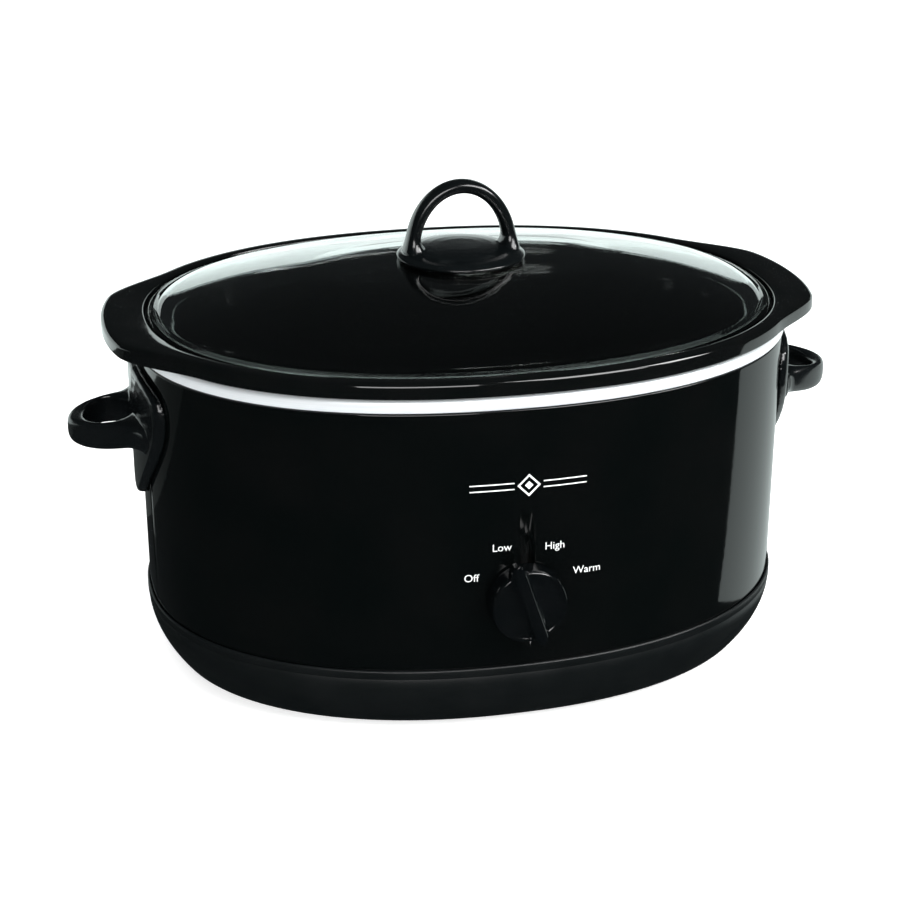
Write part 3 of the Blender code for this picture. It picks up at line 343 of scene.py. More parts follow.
# %% Cloudy finishes
def cloudy(name, colours, roughness, blotch_mm, bump_depth, **settings):
    """Two tones in soft clouds, with matching changes of gloss and a slight relief."""
    material, shader, place = new_material(name, **settings)
    clouds = add(material, "ShaderNodeTexNoise", {"Scale": per_metre(blotch_mm), "Detail": 5},
                 {"Vector": (place, "Object")})
    tone = add(material, "ShaderNodeValToRGB", links={"Fac": (clouds, "Fac")})
    tone.color_ramp.elements[0].position, tone.color_ramp.elements[1].position = 0.3, 0.72
    tone.color_ramp.elements[0].color = linear(colours[0])
    tone.color_ramp.elements[1].color = linear(colours[1])
    link(material, tone, "Color", shader, "Base Color")
    gloss = add(material, "ShaderNodeMapRange", {"To Min": roughness[0], "To Max": roughness[1]},
                {"Value": (clouds, "Fac")})
    link(material, gloss, "Result", shader, "Roughness")
    bump = add(material, "ShaderNodeBump", {"Strength": 0.5, "Distance": bump_depth},
               {"Height": (clouds, "Fac")})
    link(material, bump, "Normal", shader, "Normal")
    return material


zinc = cloudy("zinc_plated_steel", ("#9A9DA0", "#C4C7CA"), (0.28, 0.42), 5, 0.00003, Metallic=1.0)
rubber = cloudy("black_rubber", ("#17181A", "#232426"), (0.72, 0.86), 3, 0.00008, IOR=1.52)
mica = cloudy("mica_board", ("#8E7A55", "#B9A57B"), (0.45, 0.65), 4, 0.0001, IOR=1.56)
nylon = cloudy("natural_nylon", ("#D6D2C2", "#E6E3D6"), (0.42, 0.55), 8, 0.00004, IOR=1.53)
print_ink = cloudy("white_epoxy_ink", ("#E9EDEC", "#F6F8F7"), (0.45, 0.6), 1.5, 0.00001, IOR=1.5)

sleeve, sleeve_shader, sleeve_place = new_material("woven_glass_sleeve", Roughness=0.75, IOR=1.5)
weave = add(sleeve, "ShaderNodeTexWave", {"Scale": per_metre(1.1) / 6.28, "Distortion": 1.2, "Detail": 2},
            {"Vector": (sleeve_place, "Object")}, bands_direction="DIAGONAL")
weave_tone = add(sleeve, "ShaderNodeValToRGB", links={"Fac": (weave, "Fac")})
weave_tone.color_ramp.elements[0].color = linear("#B5B0A2")
weave_tone.color_ramp.elements[1].color = linear("#DAD6C9")
link(sleeve, weave_tone, "Color", sleeve_shader, "Base Color")
weave_bump = add(sleeve, "ShaderNodeBump", {"Strength": 0.7, "Distance": 0.0002},
                 {"Height": (weave, "Fac")})
link(sleeve, weave_bump, "Normal", sleeve_shader, "Normal")

# %% [markdown]
# ### Toughened glass
# The lid is pressed soda-lime glass, 4 mm thick. It is clear from above, faintly green along its edge,
# and its surface has the slow waviness of pressed glass.

# %% Toughened glass
glass, glass_shader, glass_place = new_material("toughened_soda_lime_glass", IOR=1.52,
                                                Transmission_Weight=1.0, Roughness=0.0)
glass_wave = add(glass, "ShaderNodeTexNoise", {"Scale": per_metre(40), "Detail": 1},
                 {"Vector": (glass_place, "Object")})
glass_tint = add(glass, "ShaderNodeValToRGB", links={"Fac": (glass_wave, "Fac")})
glass_tint.color_ramp.elements[0].color = linear("#F3FAF8")
glass_tint.color_ramp.elements[1].color = linear("#FBFEFD")
link(glass, glass_tint, "Color", glass_shader, "Base Color")
glass_bump = add(glass, "ShaderNodeBump", {"Strength": 0.4, "Distance": 0.0001},
                 {"Height": (glass_wave, "Fac")})
link(glass, glass_bump, "Normal", glass_shader, "Normal")

# %% [markdown]
# ## Shape helpers
# The oval pieces are lofts: rings of points round the outline, joined ring to ring. A profile is a list
# of (inset, level). Corners are given as arcs, so highlights run smoothly along them.

# %% Shape helpers
ROUND = 288  # points round each oval


def keep(bm, name, material, body, sharp_degrees=40):
    """Makes the object from a bmesh, shades it smooth and lets it ride on a body."""
    bmesh.ops.recalc_face_normals(bm, faces=bm.faces)
    mesh = bpy.data.meshes.new(name)
    bm.to_mesh(mesh)
    bm.free()
    mesh.shade_smooth()
    mesh.set_sharp_from_angle(angle=math.radians(sharp_degrees))
    mesh.materials.append(material)
    made = bpy.data.objects.new(name, mesh)
    bpy.context.scene.collection.objects.link(made)
    if body:
        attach(made, body)
    return made


def corner(inset, level, radius, start, end, steps=6):
    """Arc of a profile about a centre. Angles in degrees: 0 points out, 90 points up."""
    points = []
    for i in range(steps + 1):
        angle = math.radians(start + (end - start) * i / steps)
        points.append((inset - radius * math.cos(angle), level + radius * math.sin(angle)))
    return points


def skin_rings(bm, rings, closed):
    """Quads between rings, and caps on the ends of an open run."""
    pairs = list(zip(rings, rings[1:])) + ([(rings[-1], rings[0])] if closed else [])
    for near, far in pairs:
        for i in range(len(near)):
            j = (i + 1) % len(near)
            bm.faces.new((near[i], near[j], far[j], far[i]))
    if not closed:
        bm.faces.new(rings[0])
        bm.faces.new(rings[-1])


def oval_loft(name, profile, material, body, closed=False, push=None, sharp_degrees=40):
    """Loft round the oval. push(x, y, inset, level) may move a point outwards, as for the ears."""
    bm = bmesh.new()
    rings = []
    for inset, level in profile:
        ring = []
        for i in range(ROUND):
            point = oval_point(inset, 2 * math.pi * i / ROUND)
            point.z = level
            if push:
                point += push(point, inset, level)
            ring.append(bm.verts.new(point))
        rings.append(ring)
    skin_rings(bm, rings, closed)
    return keep(bm, name, material, body, sharp_degrees)


def rounded_bar(bm, sections, squareness, count=28):
    """Bar through cross sections of (centre, half width, half height), each a rounded rectangle."""
    rings = []
    for centre, across, upward in sections:
        ring = []
        for i in range(count):
            angle = 2 * math.pi * (i + 0.5) / count
            u = math.copysign(abs(math.cos(angle)) ** (2 / squareness), math.cos(angle))
            v = math.copysign(abs(math.sin(angle)) ** (2 / squareness), math.sin(angle))
            ring.append(bm.verts.new(centre + u * across + v * upward))
        rings.append(ring)
    skin_rings(bm, rings, False)


def turned_mesh(bm, profile, steps, matrix=Matrix.Identity(4)):
    """Surface of revolution about Z from a profile of (radius, level)."""
    rings = []
    for radius, level in profile:
        if radius == 0:
            rings.append([bm.verts.new(matrix @ Vector((0, 0, level)))])
            continue
        rings.append([bm.verts.new(matrix @ Vector((radius * math.cos(2 * math.pi * i / steps),
                                                    radius * math.sin(2 * math.pi * i / steps), level)))
                      for i in range(steps)])
    for near, far in zip(rings, rings[1:]):
        for i in range(steps):
            j = (i + 1) % steps
            corners = [near[i % len(near)], near[j % len(near)], far[j % len(far)], far[i % len(far)]]
            unique = list(dict.fromkeys(corners))
            if len(unique) > 2:
                bm.faces.new(unique)


def boolean(target, other, operation):
    """Applies an exact Boolean and removes the helper."""
    cut = target.modifiers.new("cut", "BOOLEAN")
    cut.operation = operation
    cut.object = other
    cut.solver = "EXACT"
    bpy.context.view_layer.update()
    graph = bpy.context.evaluated_depsgraph_get()
    mesh = bpy.data.meshes.new_from_object(target.evaluated_get(graph))
    target.modifiers.clear()
    target.data = mesh
    bpy.data.objects.remove(other)
    return target


def drill(target, holes, steps=40):
    """Cuts round holes, each given as (radius, start, end), with one Boolean."""
    bm = bmesh.new()
    for radius, start, end in holes:
        start, end = Vector(start), Vector(end)
        turn = (end - start).to_track_quat("Z", "Y").to_matrix().to_4x4()
        turned_mesh(bm, [(0, 0), (radius, 0), (radius, (end - start).length), (0, (end - start).length)],
                    steps, Matrix.Translation(start) @ turn)
    return boolean(target, keep(bm, "drill", zinc, None), "DIFFERENCE")


# %% [markdown]
# ## Case
# The case is one sheet of steel wrapped into an oval. Its top edge is folded in, to tuck under the lip
# of the well, and holes are punched for the switch, the cord and the handle screws.

# %% Case wall
WALL = 0.0010
FOLD = 0.0008
case_profile = (corner(FOLD, shell_high.z - FOLD, FOLD, 0, 90, 4) + [(0.0022, shell_high.z),
                                                                     (0.0022, shell_high.z - WALL)]
                + [(WALL + 0.0002, shell_high.z - WALL - 0.0002), (WALL, shell_high.z - 0.003),
                   (WALL, shell_low.z), (0, shell_low.z)])
case_wall = oval_loft("case_wall", case_profile, enamel, "base", closed=True)
front_y, rear_y = body_y - half_depth, body_y + half_depth
turn_joint = next(j for j in frame["joints"] if j["name"] == "knob_turn")
knob_z = turn_joint["pos_m"][2]
gland_low, gland_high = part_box("cord_gland")
gland_z = (gland_low.z + gland_high.z) / 2
case_holes = [(0.0052, (0, front_y - 0.01, knob_z), (0, front_y + 0.01, knob_z)),
              (0.0063, (0, rear_y - 0.01, gland_z), (0, rear_y + 0.01, gland_z))]
for node in ("left_handle_screw_front", "left_handle_screw_rear", "right_handle_screw_front",
             "right_handle_screw_rear"):
    low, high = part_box(node)
    middle = (low + high) / 2
    case_holes.append((0.0022, middle - Vector((0.02, 0, 0)), middle + Vector((0.02, 0, 0))))
drill(case_wall, case_holes)
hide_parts("outer_shell")
print("case wall faces:", len(case_wall.data.polygons))

# %% [markdown]
# ## Heating well
# The well's lip is rolled outwards over the case, so from outside it is a bright round bead between the
# enamel and the crock. Inside it runs down as a plain tapered pan.

# %% Heating well
SHEET = 0.0009
well_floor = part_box("well_stud")[1].z - 0.0015


def well_inset(level):
    return 0.013 + 0.015 * (well_high.z - level) / (well_high.z - 0.046)


LIP_GAP = 0.0003
LIP_UNDER, LIP_ROLL = 0.0022, 0.0032  # radii of the bead's lower and upper turns
well_low_lip = shell_high.z + LIP_GAP
lip_outside = [(0.0012, well_low_lip)] + corner(0.0012, well_low_lip + LIP_UNDER, LIP_UNDER, -80, 0, 6)
lip_outside += corner(0.0022, well_high.z - LIP_ROLL, LIP_ROLL, 0, 90, 8)
wall_run = [(well_inset(level), level) for level in (well_high.z - 0.008, 0.15, 0.11, 0.075)]
floor_corner = corner(well_inset(0.058) + 0.012, 0.058, 0.012, 0, -90, 8)
upper = lip_outside + [(0.0075, well_high.z), (0.0100, well_high.z - 0.0003),
                       (0.0122, well_high.z - 0.0024)] + wall_run + floor_corner
lower = [(inset, level - SHEET) for inset, level in reversed(floor_corner)]
lower += [(well_inset(level) - SHEET, level) for level in (0.075, 0.11, 0.15, well_high.z - 0.008)]
lower += [(0.0122 - SHEET, well_high.z - 0.0030), (0.0095, well_high.z - SHEET),
          (0.0034, well_high.z - 0.0013), (0.0012, well_low_lip + 0.003)]
well_liner = oval_loft("well_liner", lower + upper, liner, "base")
drill(well_liner, [(0.0029, (0, body_y, well_floor - 0.01), (0, body_y, well_floor + 0.01))])
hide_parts("heating_well")

# %% [markdown]
# ## Base and feet
# The base is one deep moulding. It flares out of the case by a millimetre and a half, then tucks in
# strongly below, so the cooker seems to float. A fine groove runs round under its top edge.

# %% Moulded base
skirt_bottom, skirt_top = skirt_low.z, skirt_high.z
TUCK = 0.0135
PROUD = 0.0015


def skirt_inset(level):
    share = (skirt_top - 0.0045 - level) / (skirt_top - 0.0045 - skirt_bottom)
    return TUCK * max(share, 0) ** 1.9 - PROUD


band_low = skirt_top - 0.0045
outside = [(skirt_inset(skirt_bottom) + 0.0016, skirt_bottom),
           (skirt_inset(skirt_bottom) + 0.0005, skirt_bottom + 0.0004)]
outside += [(skirt_inset(level),
             level) for level in (skirt_bottom + 0.0013 + i * 0.0028 for i in range(10))]
outside += [(-PROUD, band_low - 0.0008), (-PROUD + 0.0003, band_low - 0.0003),
            (-PROUD + 0.0003, band_low + 0.0001),
            (-PROUD, band_low + 0.0006), (-PROUD, skirt_top - 0.0010)]
outside += corner(-PROUD + 0.0009, skirt_top - 0.0009, 0.0009, 15, 90, 5) + [(-0.0004, skirt_top)]
shelf = [(-0.0003, skirt_top - 0.0010), (-0.0003, skirt_top - 0.0100), (0.0045, skirt_top - 0.0100),
         (0.0045, skirt_top - 0.0125)]
RIM_WALL = 0.0025
inside = [(skirt_inset(level) + RIM_WALL, level) for level in (0.018, 0.010,
                                                               skirt_bottom + RIM_WALL + 0.001)]
inside += [(skirt_inset(skirt_bottom) + 0.0045, skirt_bottom + RIM_WALL), (0.040, skirt_bottom + RIM_WALL),
           (0.040, skirt_bottom)]
moulded_base = oval_loft("moulded_base", outside + shelf + inside, satin_phenolic, "base", closed=True)
foot_nodes = ["foot_rear_right", "foot_rear_left", "foot_front_left", "foot_front_right"]
cover_screw_nodes = ["cover_screw_right", "cover_screw_rear", "cover_screw_left", "cover_screw_front"]
rim_holes = []
for node in foot_nodes + cover_screw_nodes:
    low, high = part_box(node)
    middle = (low + high) / 2
    radius = 0.0028 if node in foot_nodes else 0.0021
    rim_holes.append((radius, (middle.x, middle.y, -0.01),
                      (middle.x, middle.y, skirt_bottom + RIM_WALL + 0.003)))
drill(moulded_base, rim_holes)
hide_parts("base_skirt")
print("base outline at the floor is set in by, mm:", round(skirt_inset(skirt_bottom) * 1000, 1))


# %% [markdown]
# Each foot is a rubber pad with a soft edge. Its stem is pushed through the rim of the base and swells
# above it, so the foot can't fall out.

# %% Rubber feet
for node in foot_nodes:
    low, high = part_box(node)
    middle = (low + high) / 2
    foot_radius = (high.x - low.x) / 2
    under = skirt_bottom - 0.0003
    bm = bmesh.new()
    pad = [(0, 0), (0.0030, 0), (0.0033, 0.0003), (0.0040, 0.0003), (0.0043, 0), (foot_radius - 0.0016, 0)]
    pad += [(foot_radius - 0.0009, 0.0002), (foot_radius - 0.0004, 0.0008), (foot_radius - 0.0001, 0.0016),
            (foot_radius - 0.0004, under)]
    stem = [(0.0025, under), (0.0025, skirt_bottom + RIM_WALL + 0.0003),
            (0.0033, skirt_bottom + RIM_WALL + 0.0006), (0.0031, high.z - 0.0018),
            (0.0018, high.z - 0.0002), (0, high.z)]
    turned_mesh(bm, pad + stem, 56, Matrix.Translation((middle.x, middle.y, 0)))
    foot = keep(bm, node.replace("foot_", "rubber_foot_"), rubber, "base")
    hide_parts(node)

# %% [markdown]
# ## Crock
# The crock hangs in the well by its flange. The flange stands proud of the case all round and grows two
# ears at the ends, to lift it by. Slip-cast stoneware has no sharp corners, so every edge is rounded, and
# the glaze stops short of the foot, which would otherwise stick to the kiln shelf.

# %% Glazed crock
EAR_REACH, EAR_FLAT, EAR_BLEND = 0.0145, 0.040, 0.042
flange_top = crock_high.z
flange_low = shell_high.z + 0.0003 + 0.0075 + 0.0003
ledge = flange_top - 0.005
crock_foot = crock_low.z


def ear_push(point, inset, level):
    """Moves the flange outwards at the oval's two ends, less and less towards the lid's seat."""
    if abs(point.x) < half_width / 2 or level < flange_low - 0.0001:
        return Vector((0, 0, 0))
    share = min(max((abs(point.y - body_y) - EAR_FLAT) / EAR_BLEND, 0), 1)
    reach = EAR_REACH * (1 - share * share * (3 - 2 * share))
    if inset > 0.0015:
        reach *= min(max((0.0044 - inset) / 0.0029, 0), 1)
    return Vector((math.copysign(reach, point.x), 0, 0))


CLEAR, THICK = 0.003, 0.007
pot_top = well_inset(well_high.z - 0.008) + CLEAR
pot_low = well_inset(crock_foot + 0.018) + CLEAR
EDGE = -0.003
flange = [(pot_top - 0.0026, flange_low - 0.0012), (pot_top - 0.0036, flange_low - 0.0001),
          (EDGE + 0.0048, flange_low), (EDGE + 0.0018, flange_low)]
flange += corner(EDGE + 0.0016, flange_low + 0.0016, 0.0016, -80, 0, 6)
flange += [(EDGE + 0.0001, flange_top - 0.0042)]
flange += corner(EDGE + 0.0030, flange_top - 0.0030, 0.0029, 0, 85, 8)
flange += [(EDGE + 0.0045, flange_top), (0.0032, flange_top)]
flange += [(0.0044, flange_top - 0.0001), (0.0051, flange_top - 0.0005), (0.0054, flange_top - 0.0011),
           (0.0055, ledge + 0.0008), (0.0058, ledge + 0.0002),
           (0.0064, ledge)]
throat = [(pot_top + THICK - 0.0042, ledge), (pot_top + THICK - 0.0026, ledge - 0.0004),
          (pot_top + THICK - 0.0009, ledge - 0.0018),
          (pot_top + THICK, ledge - 0.0045)]
in_low = pot_low + THICK
floor_level = crock_foot + 0.008
bowl = [(pot_top + THICK + (in_low - pot_top - THICK) * share,
         ledge - 0.0045 + (floor_level + 0.018 - ledge + 0.0045) * share)
        for share in (0.25, 0.5, 0.75)]
bowl += corner(in_low + 0.018, floor_level + 0.018, 0.018, 0, -90, 10) + [(0.070, floor_level - 0.0002)]
wall_out = [(pot_low + (pot_top - pot_low) * share,
             crock_foot + 0.018 + (flange_low - 0.006 - crock_foot - 0.018) * share)
            for share in (0.0, 0.3, 0.6, 0.85, 1.0)]
foot_ring = [(0.062, crock_foot + 0.0012), (0.052, crock_foot + 0.0012), (0.0505, crock_foot),
             (pot_low + 0.0165, crock_foot)]
foot_ring += corner(pot_low + 0.0160, crock_foot + 0.0160, 0.0160, -82, -8, 8)
glazed_crock = oval_loft("glazed_crock", foot_ring + wall_out + flange + throat + bowl, glaze, "crock",
                         push=ear_push)
glazed_crock.data.materials.append(bisque)
for face in glazed_crock.data.polygons:
    if face.center.z < crock_foot + 0.0030:
        face.material_index = 1
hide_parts("stoneware_crock")
print("flange width and depth, mm:", [round(v * 1000, 1) for v in glazed_crock.dimensions])

# %% [markdown]
# ## Lid
# The lid is one pressing of toughened glass. Its rim lies flat in the crock's recess, a tight knee turns
# up from it, and the dome is nearly flat on top. One hole takes the handle screw.

# %% Glass lid
LID_EDGE = 0.007
seat_low = glass_low.z
rim_top = seat_low + 0.004
rise = glass_high.z - rim_top
KNEE = LID_EDGE + 0.0045
dome_keys = [(0.0, 0.0), (0.0040, 0.13), (0.0110, 0.24), (0.0260, 0.44), (0.0480, 0.68), (0.0760, 0.91),
             (0.0920, 1.0)]
CAP_RUN = 0.108
CAP_RADIUS = 0.028  # of the flat middle, which the handle's disc hides


def dome_level(run):
    """Share of the dome's rise at a run in from the knee: a smooth curve through the keys."""
    for (run_a, share_a), (run_b, share_b) in zip(dome_keys, dome_keys[1:]):
        if run <= run_b:
            break
    index = dome_keys.index((run_a, share_a))
    before = dome_keys[index - 1] if index else (run_a - (run_b - run_a),
                                                 share_a - (share_b - share_a) * 1.4)
    after = dome_keys[index + 2] if index + 2 < len(dome_keys) else (run_b + 0.02, share_b)
    slope_a = (share_b - before[1]) / (run_b - before[0])
    slope_b = (after[1] - share_a) / (after[0] - run_a)
    span = run_b - run_a
    t = (run - run_a) / span
    return ((2 * t**3 - 3 * t**2 + 1) * share_a + (t**3 - 2 * t**2 + t) * span * slope_a
            + (3 * t**2 - 2 * t**3) * share_b + (t**3 - t**2) * span * slope_b)


def under_disc(point, inset, level):
    """Draws the innermost ring in to a circle under the handle's disc."""
    if inset < KNEE + CAP_RUN:
        return Vector((0, 0, 0))
    radial = Vector((point.x, point.y - body_y, 0))
    return radial.normalized() * CAP_RADIUS - radial


runs = [0.0006, 0.0014, 0.0024, 0.0036, 0.0050, 0.0068, 0.0090, 0.0120, 0.0160, 0.0210, 0.0270, 0.0340,
        0.0420, 0.0520, 0.0640, 0.0780, 0.0920]
upper = [(KNEE + run, rim_top + rise * dome_level(run)) for run in runs] + [(KNEE + CAP_RUN, glass_high.z)]
rim_edge = corner(LID_EDGE + 0.0019, seat_low + 0.0020, 0.0019, -85, 85, 12)
lower = [(inset + 0.0010, max(level - 0.0040, seat_low)) for inset, level in reversed(upper)]
dome_profile = lower + [(KNEE, seat_low), (LID_EDGE + 0.0035, seat_low)] + rim_edge + [(LID_EDGE + 0.0035,
                                                                                        rim_top - 0.0001),
                                                                                       (KNEE - 0.0008,
                                                                                        rim_top)] + upper
dome_glass = oval_loft("dome_glass", dome_profile, glass, "lid", push=under_disc, sharp_degrees=80)
drill(dome_glass, [(0.0030, (0, body_y, glass_high.z - 0.02), (0, body_y, glass_high.z + 0.02))])
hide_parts("lid_glass")

# %% [markdown]
# The lid's handle is one moulding: a shallow disc that spreads the load on the glass, and an arch over
# it. The arch thickens and flares where it meets the disc, because moulded parts crack at sharp corners.

# %% Lid handle
disc_base = grip_low.z
disc_radius = 0.035
disc_top = disc_base + 0.0075
bm = bmesh.new()
disc = [(0, disc_base + 0.0012), (0.0045, disc_base + 0.0012), (0.0052, disc_base + 0.0004),
        (0.0062, disc_base), (disc_radius - 0.0026, disc_base)]
disc += [(disc_radius - 0.0018, disc_base + 0.0002), (disc_radius - 0.0008, disc_base + 0.0008),
         (disc_radius - 0.0002, disc_base + 0.0014)]
disc += [(disc_radius, disc_base + 0.0020), (disc_radius - 0.0003, disc_base + 0.0026),
         (disc_radius - 0.0011, disc_base + 0.0032), (disc_radius - 0.0024, disc_base + 0.0039),
         (0.0300, disc_base + 0.0048), (0.0265, disc_base + 0.0058), (0.0220, disc_base + 0.0066),
         (0.0170, disc_base + 0.0071), (0.0110, disc_base + 0.0074), (0, disc_top)]
turned_mesh(bm, disc, 144, Matrix.Translation((0, body_y, 0)))
lid_grip = keep(bm, "lid_grip", grip_phenolic, None)

ARCH_HALF, ARCH_RISE, ARCH_THICK, ARCH_DEEP = 0.0306, grip_high.z - disc_base - 0.0075 * 0.75, 0.0074, 0.012
bm = bmesh.new()
arch = []
shoulder = disc_base + 0.0075 * 0.75
for step in range(65):
    angle = math.pi * step / 64
    near_root = max(1 - math.sin(angle) / 0.26, 0) ** 2
    flare = 0.0026 * near_root
    outer = Vector((-math.cos(angle) * (ARCH_HALF + flare * 0.6), 0, ARCH_RISE * math.sin(angle)))
    inner = Vector((-math.cos(angle) * (ARCH_HALF - ARCH_THICK - flare * 1.3), 0,
                    (ARCH_RISE - ARCH_THICK) * math.sin(angle)))
    centre = (outer + inner) / 2 + Vector((0, body_y, shoulder))
    depth = ARCH_DEEP / 2 + flare * 1.2 + 0.0008 * (1 - math.sin(angle))
    arch.append((centre, (outer - inner) / 2, Vector((0, depth, 0))))
sunk = Vector((0, 0, 0.0040))
arch = [(arch[0][0] - sunk, *arch[0][1:])] + arch + [(arch[-1][0] - sunk, *arch[-1][1:])]
rounded_bar(bm, arch, 2.5, 40)
boolean(lid_grip, keep(bm, "arch", grip_phenolic, None), "UNION")
drill(lid_grip, [(0.0021, (0, body_y, disc_base - 0.002), (0, body_y, disc_top - 0.0015))])


# %% Soften the seams where bars meet their plates
def soften(piece, reach, turns=14):
    """Rounds the joins of a Boolean: a fine remesh, then the points close to a join are relaxed."""
    remesh = piece.modifiers.new("remesh", "REMESH")
    remesh.mode = "VOXEL"
    remesh.voxel_size = reach
    relax = piece.modifiers.new("relax", "LAPLACIANSMOOTH")
    relax.iterations = turns
    relax.lambda_factor = 0.35
    relax.use_volume_preserve = True
    bpy.context.view_layer.update()
    graph = bpy.context.evaluated_depsgraph_get()
    material = piece.data.materials[0]
    mesh = bpy.data.meshes.new_from_object(piece.evaluated_get(graph))
    piece.modifiers.clear()
    piece.data = mesh
    mesh.materials.clear()
    mesh.materials.append(material)
    mesh.shade_smooth()
    return piece


soften(lid_grip, 0.0005)
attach(lid_grip, "lid")
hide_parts("lid_handle")
print("lid grip faces:", len(lid_grip.data.polygons))

# %% [markdown]
# ## Side handles
# Each side handle is a shield-shaped plate that hugs the case, with a loop standing out of it. Two
# screws hold it from inside. The plate's edge is bevelled, which draws two fine light lines round it.

# %% Side handles
HANDLE_REACH, HANDLE_HALF, HANDLE_HALF_HEIGHT = 0.0389, 0.031, 0.008
HOLE_MIDDLE, HOLE_HALF_REACH, HOLE_HALF_WIDTH = 0.0165, 0.0125, 0.0195  # the finger hole is an ellipse
PLATE_GAP = 0.0003  # between the plate and the case
DROOP = 0.0025      # of the loop's tip
handle_level = 0.139
for side, word in ((1, "right"), (-1, "left")):
    bm = bmesh.new()
    outline = [(0.0, 0.034), (0.014, 0.0337), (0.0286, 0.0325), (0.038, 0.0306), (0.0447, 0.028),
               (0.049, 0.0247), (0.0510, 0.021),
               (0.052, 0.0165), (0.0520, 0.013), (0.0509, 0.0065), (0.0484, 0.0), (0.044, -0.007),
               (0.0385, -0.014), (0.031, -0.0221),
               (0.0239, -0.029), (0.0172, -0.0348), (0.0104, -0.0394), (0.005, -0.0414), (0.0, -0.042)]
    points = outline + [(-y, z) for y, z in reversed(outline[1:-1])]
    skins = [(0.0003, 1.0), (0.0022, 1.0), (0.0034, 0.995), (0.0042, 0.982), (0.0047, 0.962),
             (0.0050, 0.935), (0.0050, 0.90), (0.0050, 0.80),
             (0.0050, 0.60), (0.0050, 0.35), (0.0050, 0.12)]
    rings = []
    for proud, scale in [(0.0003, 0.12), (0.0003, 0.5), (0.0003, 0.9)] + skins:
        ring = []
        for y, z in points:
            along, up = y * scale, (z + 0.002) * scale - 0.002
            reach = oval_reach(-proud, along)
            ring.append(bm.verts.new((side * reach, body_y + along, handle_level + up)))
        rings.append(ring)
    skin_rings(bm, rings, False)
    plate = keep(bm, f"{word}_grip", grip_phenolic, None)

    bm = bmesh.new()
    sections = []
    for step in range(73):
        angle = math.pi * step / 72
        out = HANDLE_REACH * math.sin(angle)
        slim = 1 - 0.2 * math.sin(angle)
        flare = 0.009 * min(max((0.011 - out) / 0.009, 0), 1) ** 2
        outer = Vector((side * out, -math.cos(angle) * (HANDLE_HALF * slim + flare), 0))
        parting = math.copysign(0.0003, math.cos(angle))
        inner = Vector((side * (HOLE_MIDDLE - HOLE_HALF_REACH * math.cos(2 * angle)),
                        -HOLE_HALF_WIDTH * math.sin(2 * angle) - parting, 0))
        centre = (outer + inner) / 2 + Vector((side * half_width, body_y,
                                               handle_level - DROOP * math.sin(angle)))
        sections.append((centre, (outer - inner) / 2,
                         Vector((0, 0, HANDLE_HALF_HEIGHT - 0.0007 * math.sin(angle)))))
    inward = Vector((side * 0.008, 0, 0))
    sections = [(sections[0][0] - inward, *sections[0][1:])] + sections + [(sections[-1][0] - inward,
                                                                            *sections[-1][1:])]
    rounded_bar(bm, sections, 3.0, 44)
    boolean(plate, keep(bm, "loop", grip_phenolic, None), "UNION")
    core = oval_loft("core", [(-PLATE_GAP, 0.05), (-PLATE_GAP, 0.25)], grip_phenolic, None)
    boolean(plate, core, "DIFFERENCE")
    soften(plate, 0.0007)
    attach(plate, "base")
    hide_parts(f"{word}_handle")
print("side grip faces:", len(plate.data.polygons))

# %% [markdown]
# ## Control knob
# The knob is a round cap with a grip bar across it. The bar's nose reaches past the rim and points at
# the setting; its flanks sweep down into the face in a scoop, where finger and thumb sit. Built about its
# own axis first, then turned to point to Low.

# %% Control knob
KNOB_RADIUS, STANDOFF = 0.020, 0.0012
LOW_TURN = math.radians(18)  # from straight up to Low
knob_place = (Matrix.Translation((0, front_y, knob_z)) @ Matrix.Rotation(math.pi / 2, 4, "X")
              @ Matrix.Rotation(LOW_TURN, 4, "Z"))
bm = bmesh.new()
cap = [(0, 0.0098), (0.0150, 0.0098), (0.0172, 0.0090), (0.0178, 0.0070), (0.0178, STANDOFF),
       (0.0197, STANDOFF), (0.0199, STANDOFF + 0.0003)]
cap += [(KNOB_RADIUS, STANDOFF + 0.0007), (0.0196, 0.0100), (0.0194, 0.0108), (0.0191, 0.0114),
        (0.0187, 0.0118), (0.0182, 0.0120), (0.0176, 0.0119),
        (0.0170, 0.0115), (0.0163, 0.0113), (0.0150, 0.0114), (0.0120, 0.0117), (0.0080, 0.0121),
        (0.0040, 0.0123), (0, 0.0124)]
turned_mesh(bm, cap, 128)
setting_knob = keep(bm, "setting_knob", knob_phenolic, None)


def grip_section(along):
    """Outline of the grip bar where it crosses a distance from the middle; along is positive at the nose."""
    top = 0.0181 - 0.14 * 0.6 * (along + 0.0195) * 0.9
    tail, nose = -0.0200, 0.0252
    to_end = min((along - tail) / 0.0050, (nose - along) / 0.0085, 1)
    width = 0.0046 * math.sqrt(max(1 - (1 - to_end) ** 2, 0.0))
    scoop = max(1 - (abs(along) / 0.0165) ** 4, 0)
    base = 0.0050 if along < 0.016 else 0.0050 + 0.35 * (along - 0.016)
    top_x = width * 0.70
    right = [(0, top), (top_x * 0.5, top - 0.0001), (top_x * 0.8, top - 0.0004), (top_x, top - 0.0011),
             (width * 0.80, top - 0.0024)]
    right += [(width * 0.88 + 0.0004 * scoop, 0.0142 - 0.0010 * (1 - scoop)),
              (width + 0.0010 * scoop, 0.0128 - 0.0012 * (1 - scoop)),
              (width + 0.0028 * scoop, 0.0118 - 0.0018 * (1 - scoop)),
              (width + 0.0030 * scoop, 0.0105 - 0.0020 * (1 - scoop)), (width * 0.97, base)]
    ordered = right + [(-x, z) for x, z in reversed(right[1:])]
    return [Vector((x, along, z)) for x, z in ordered]


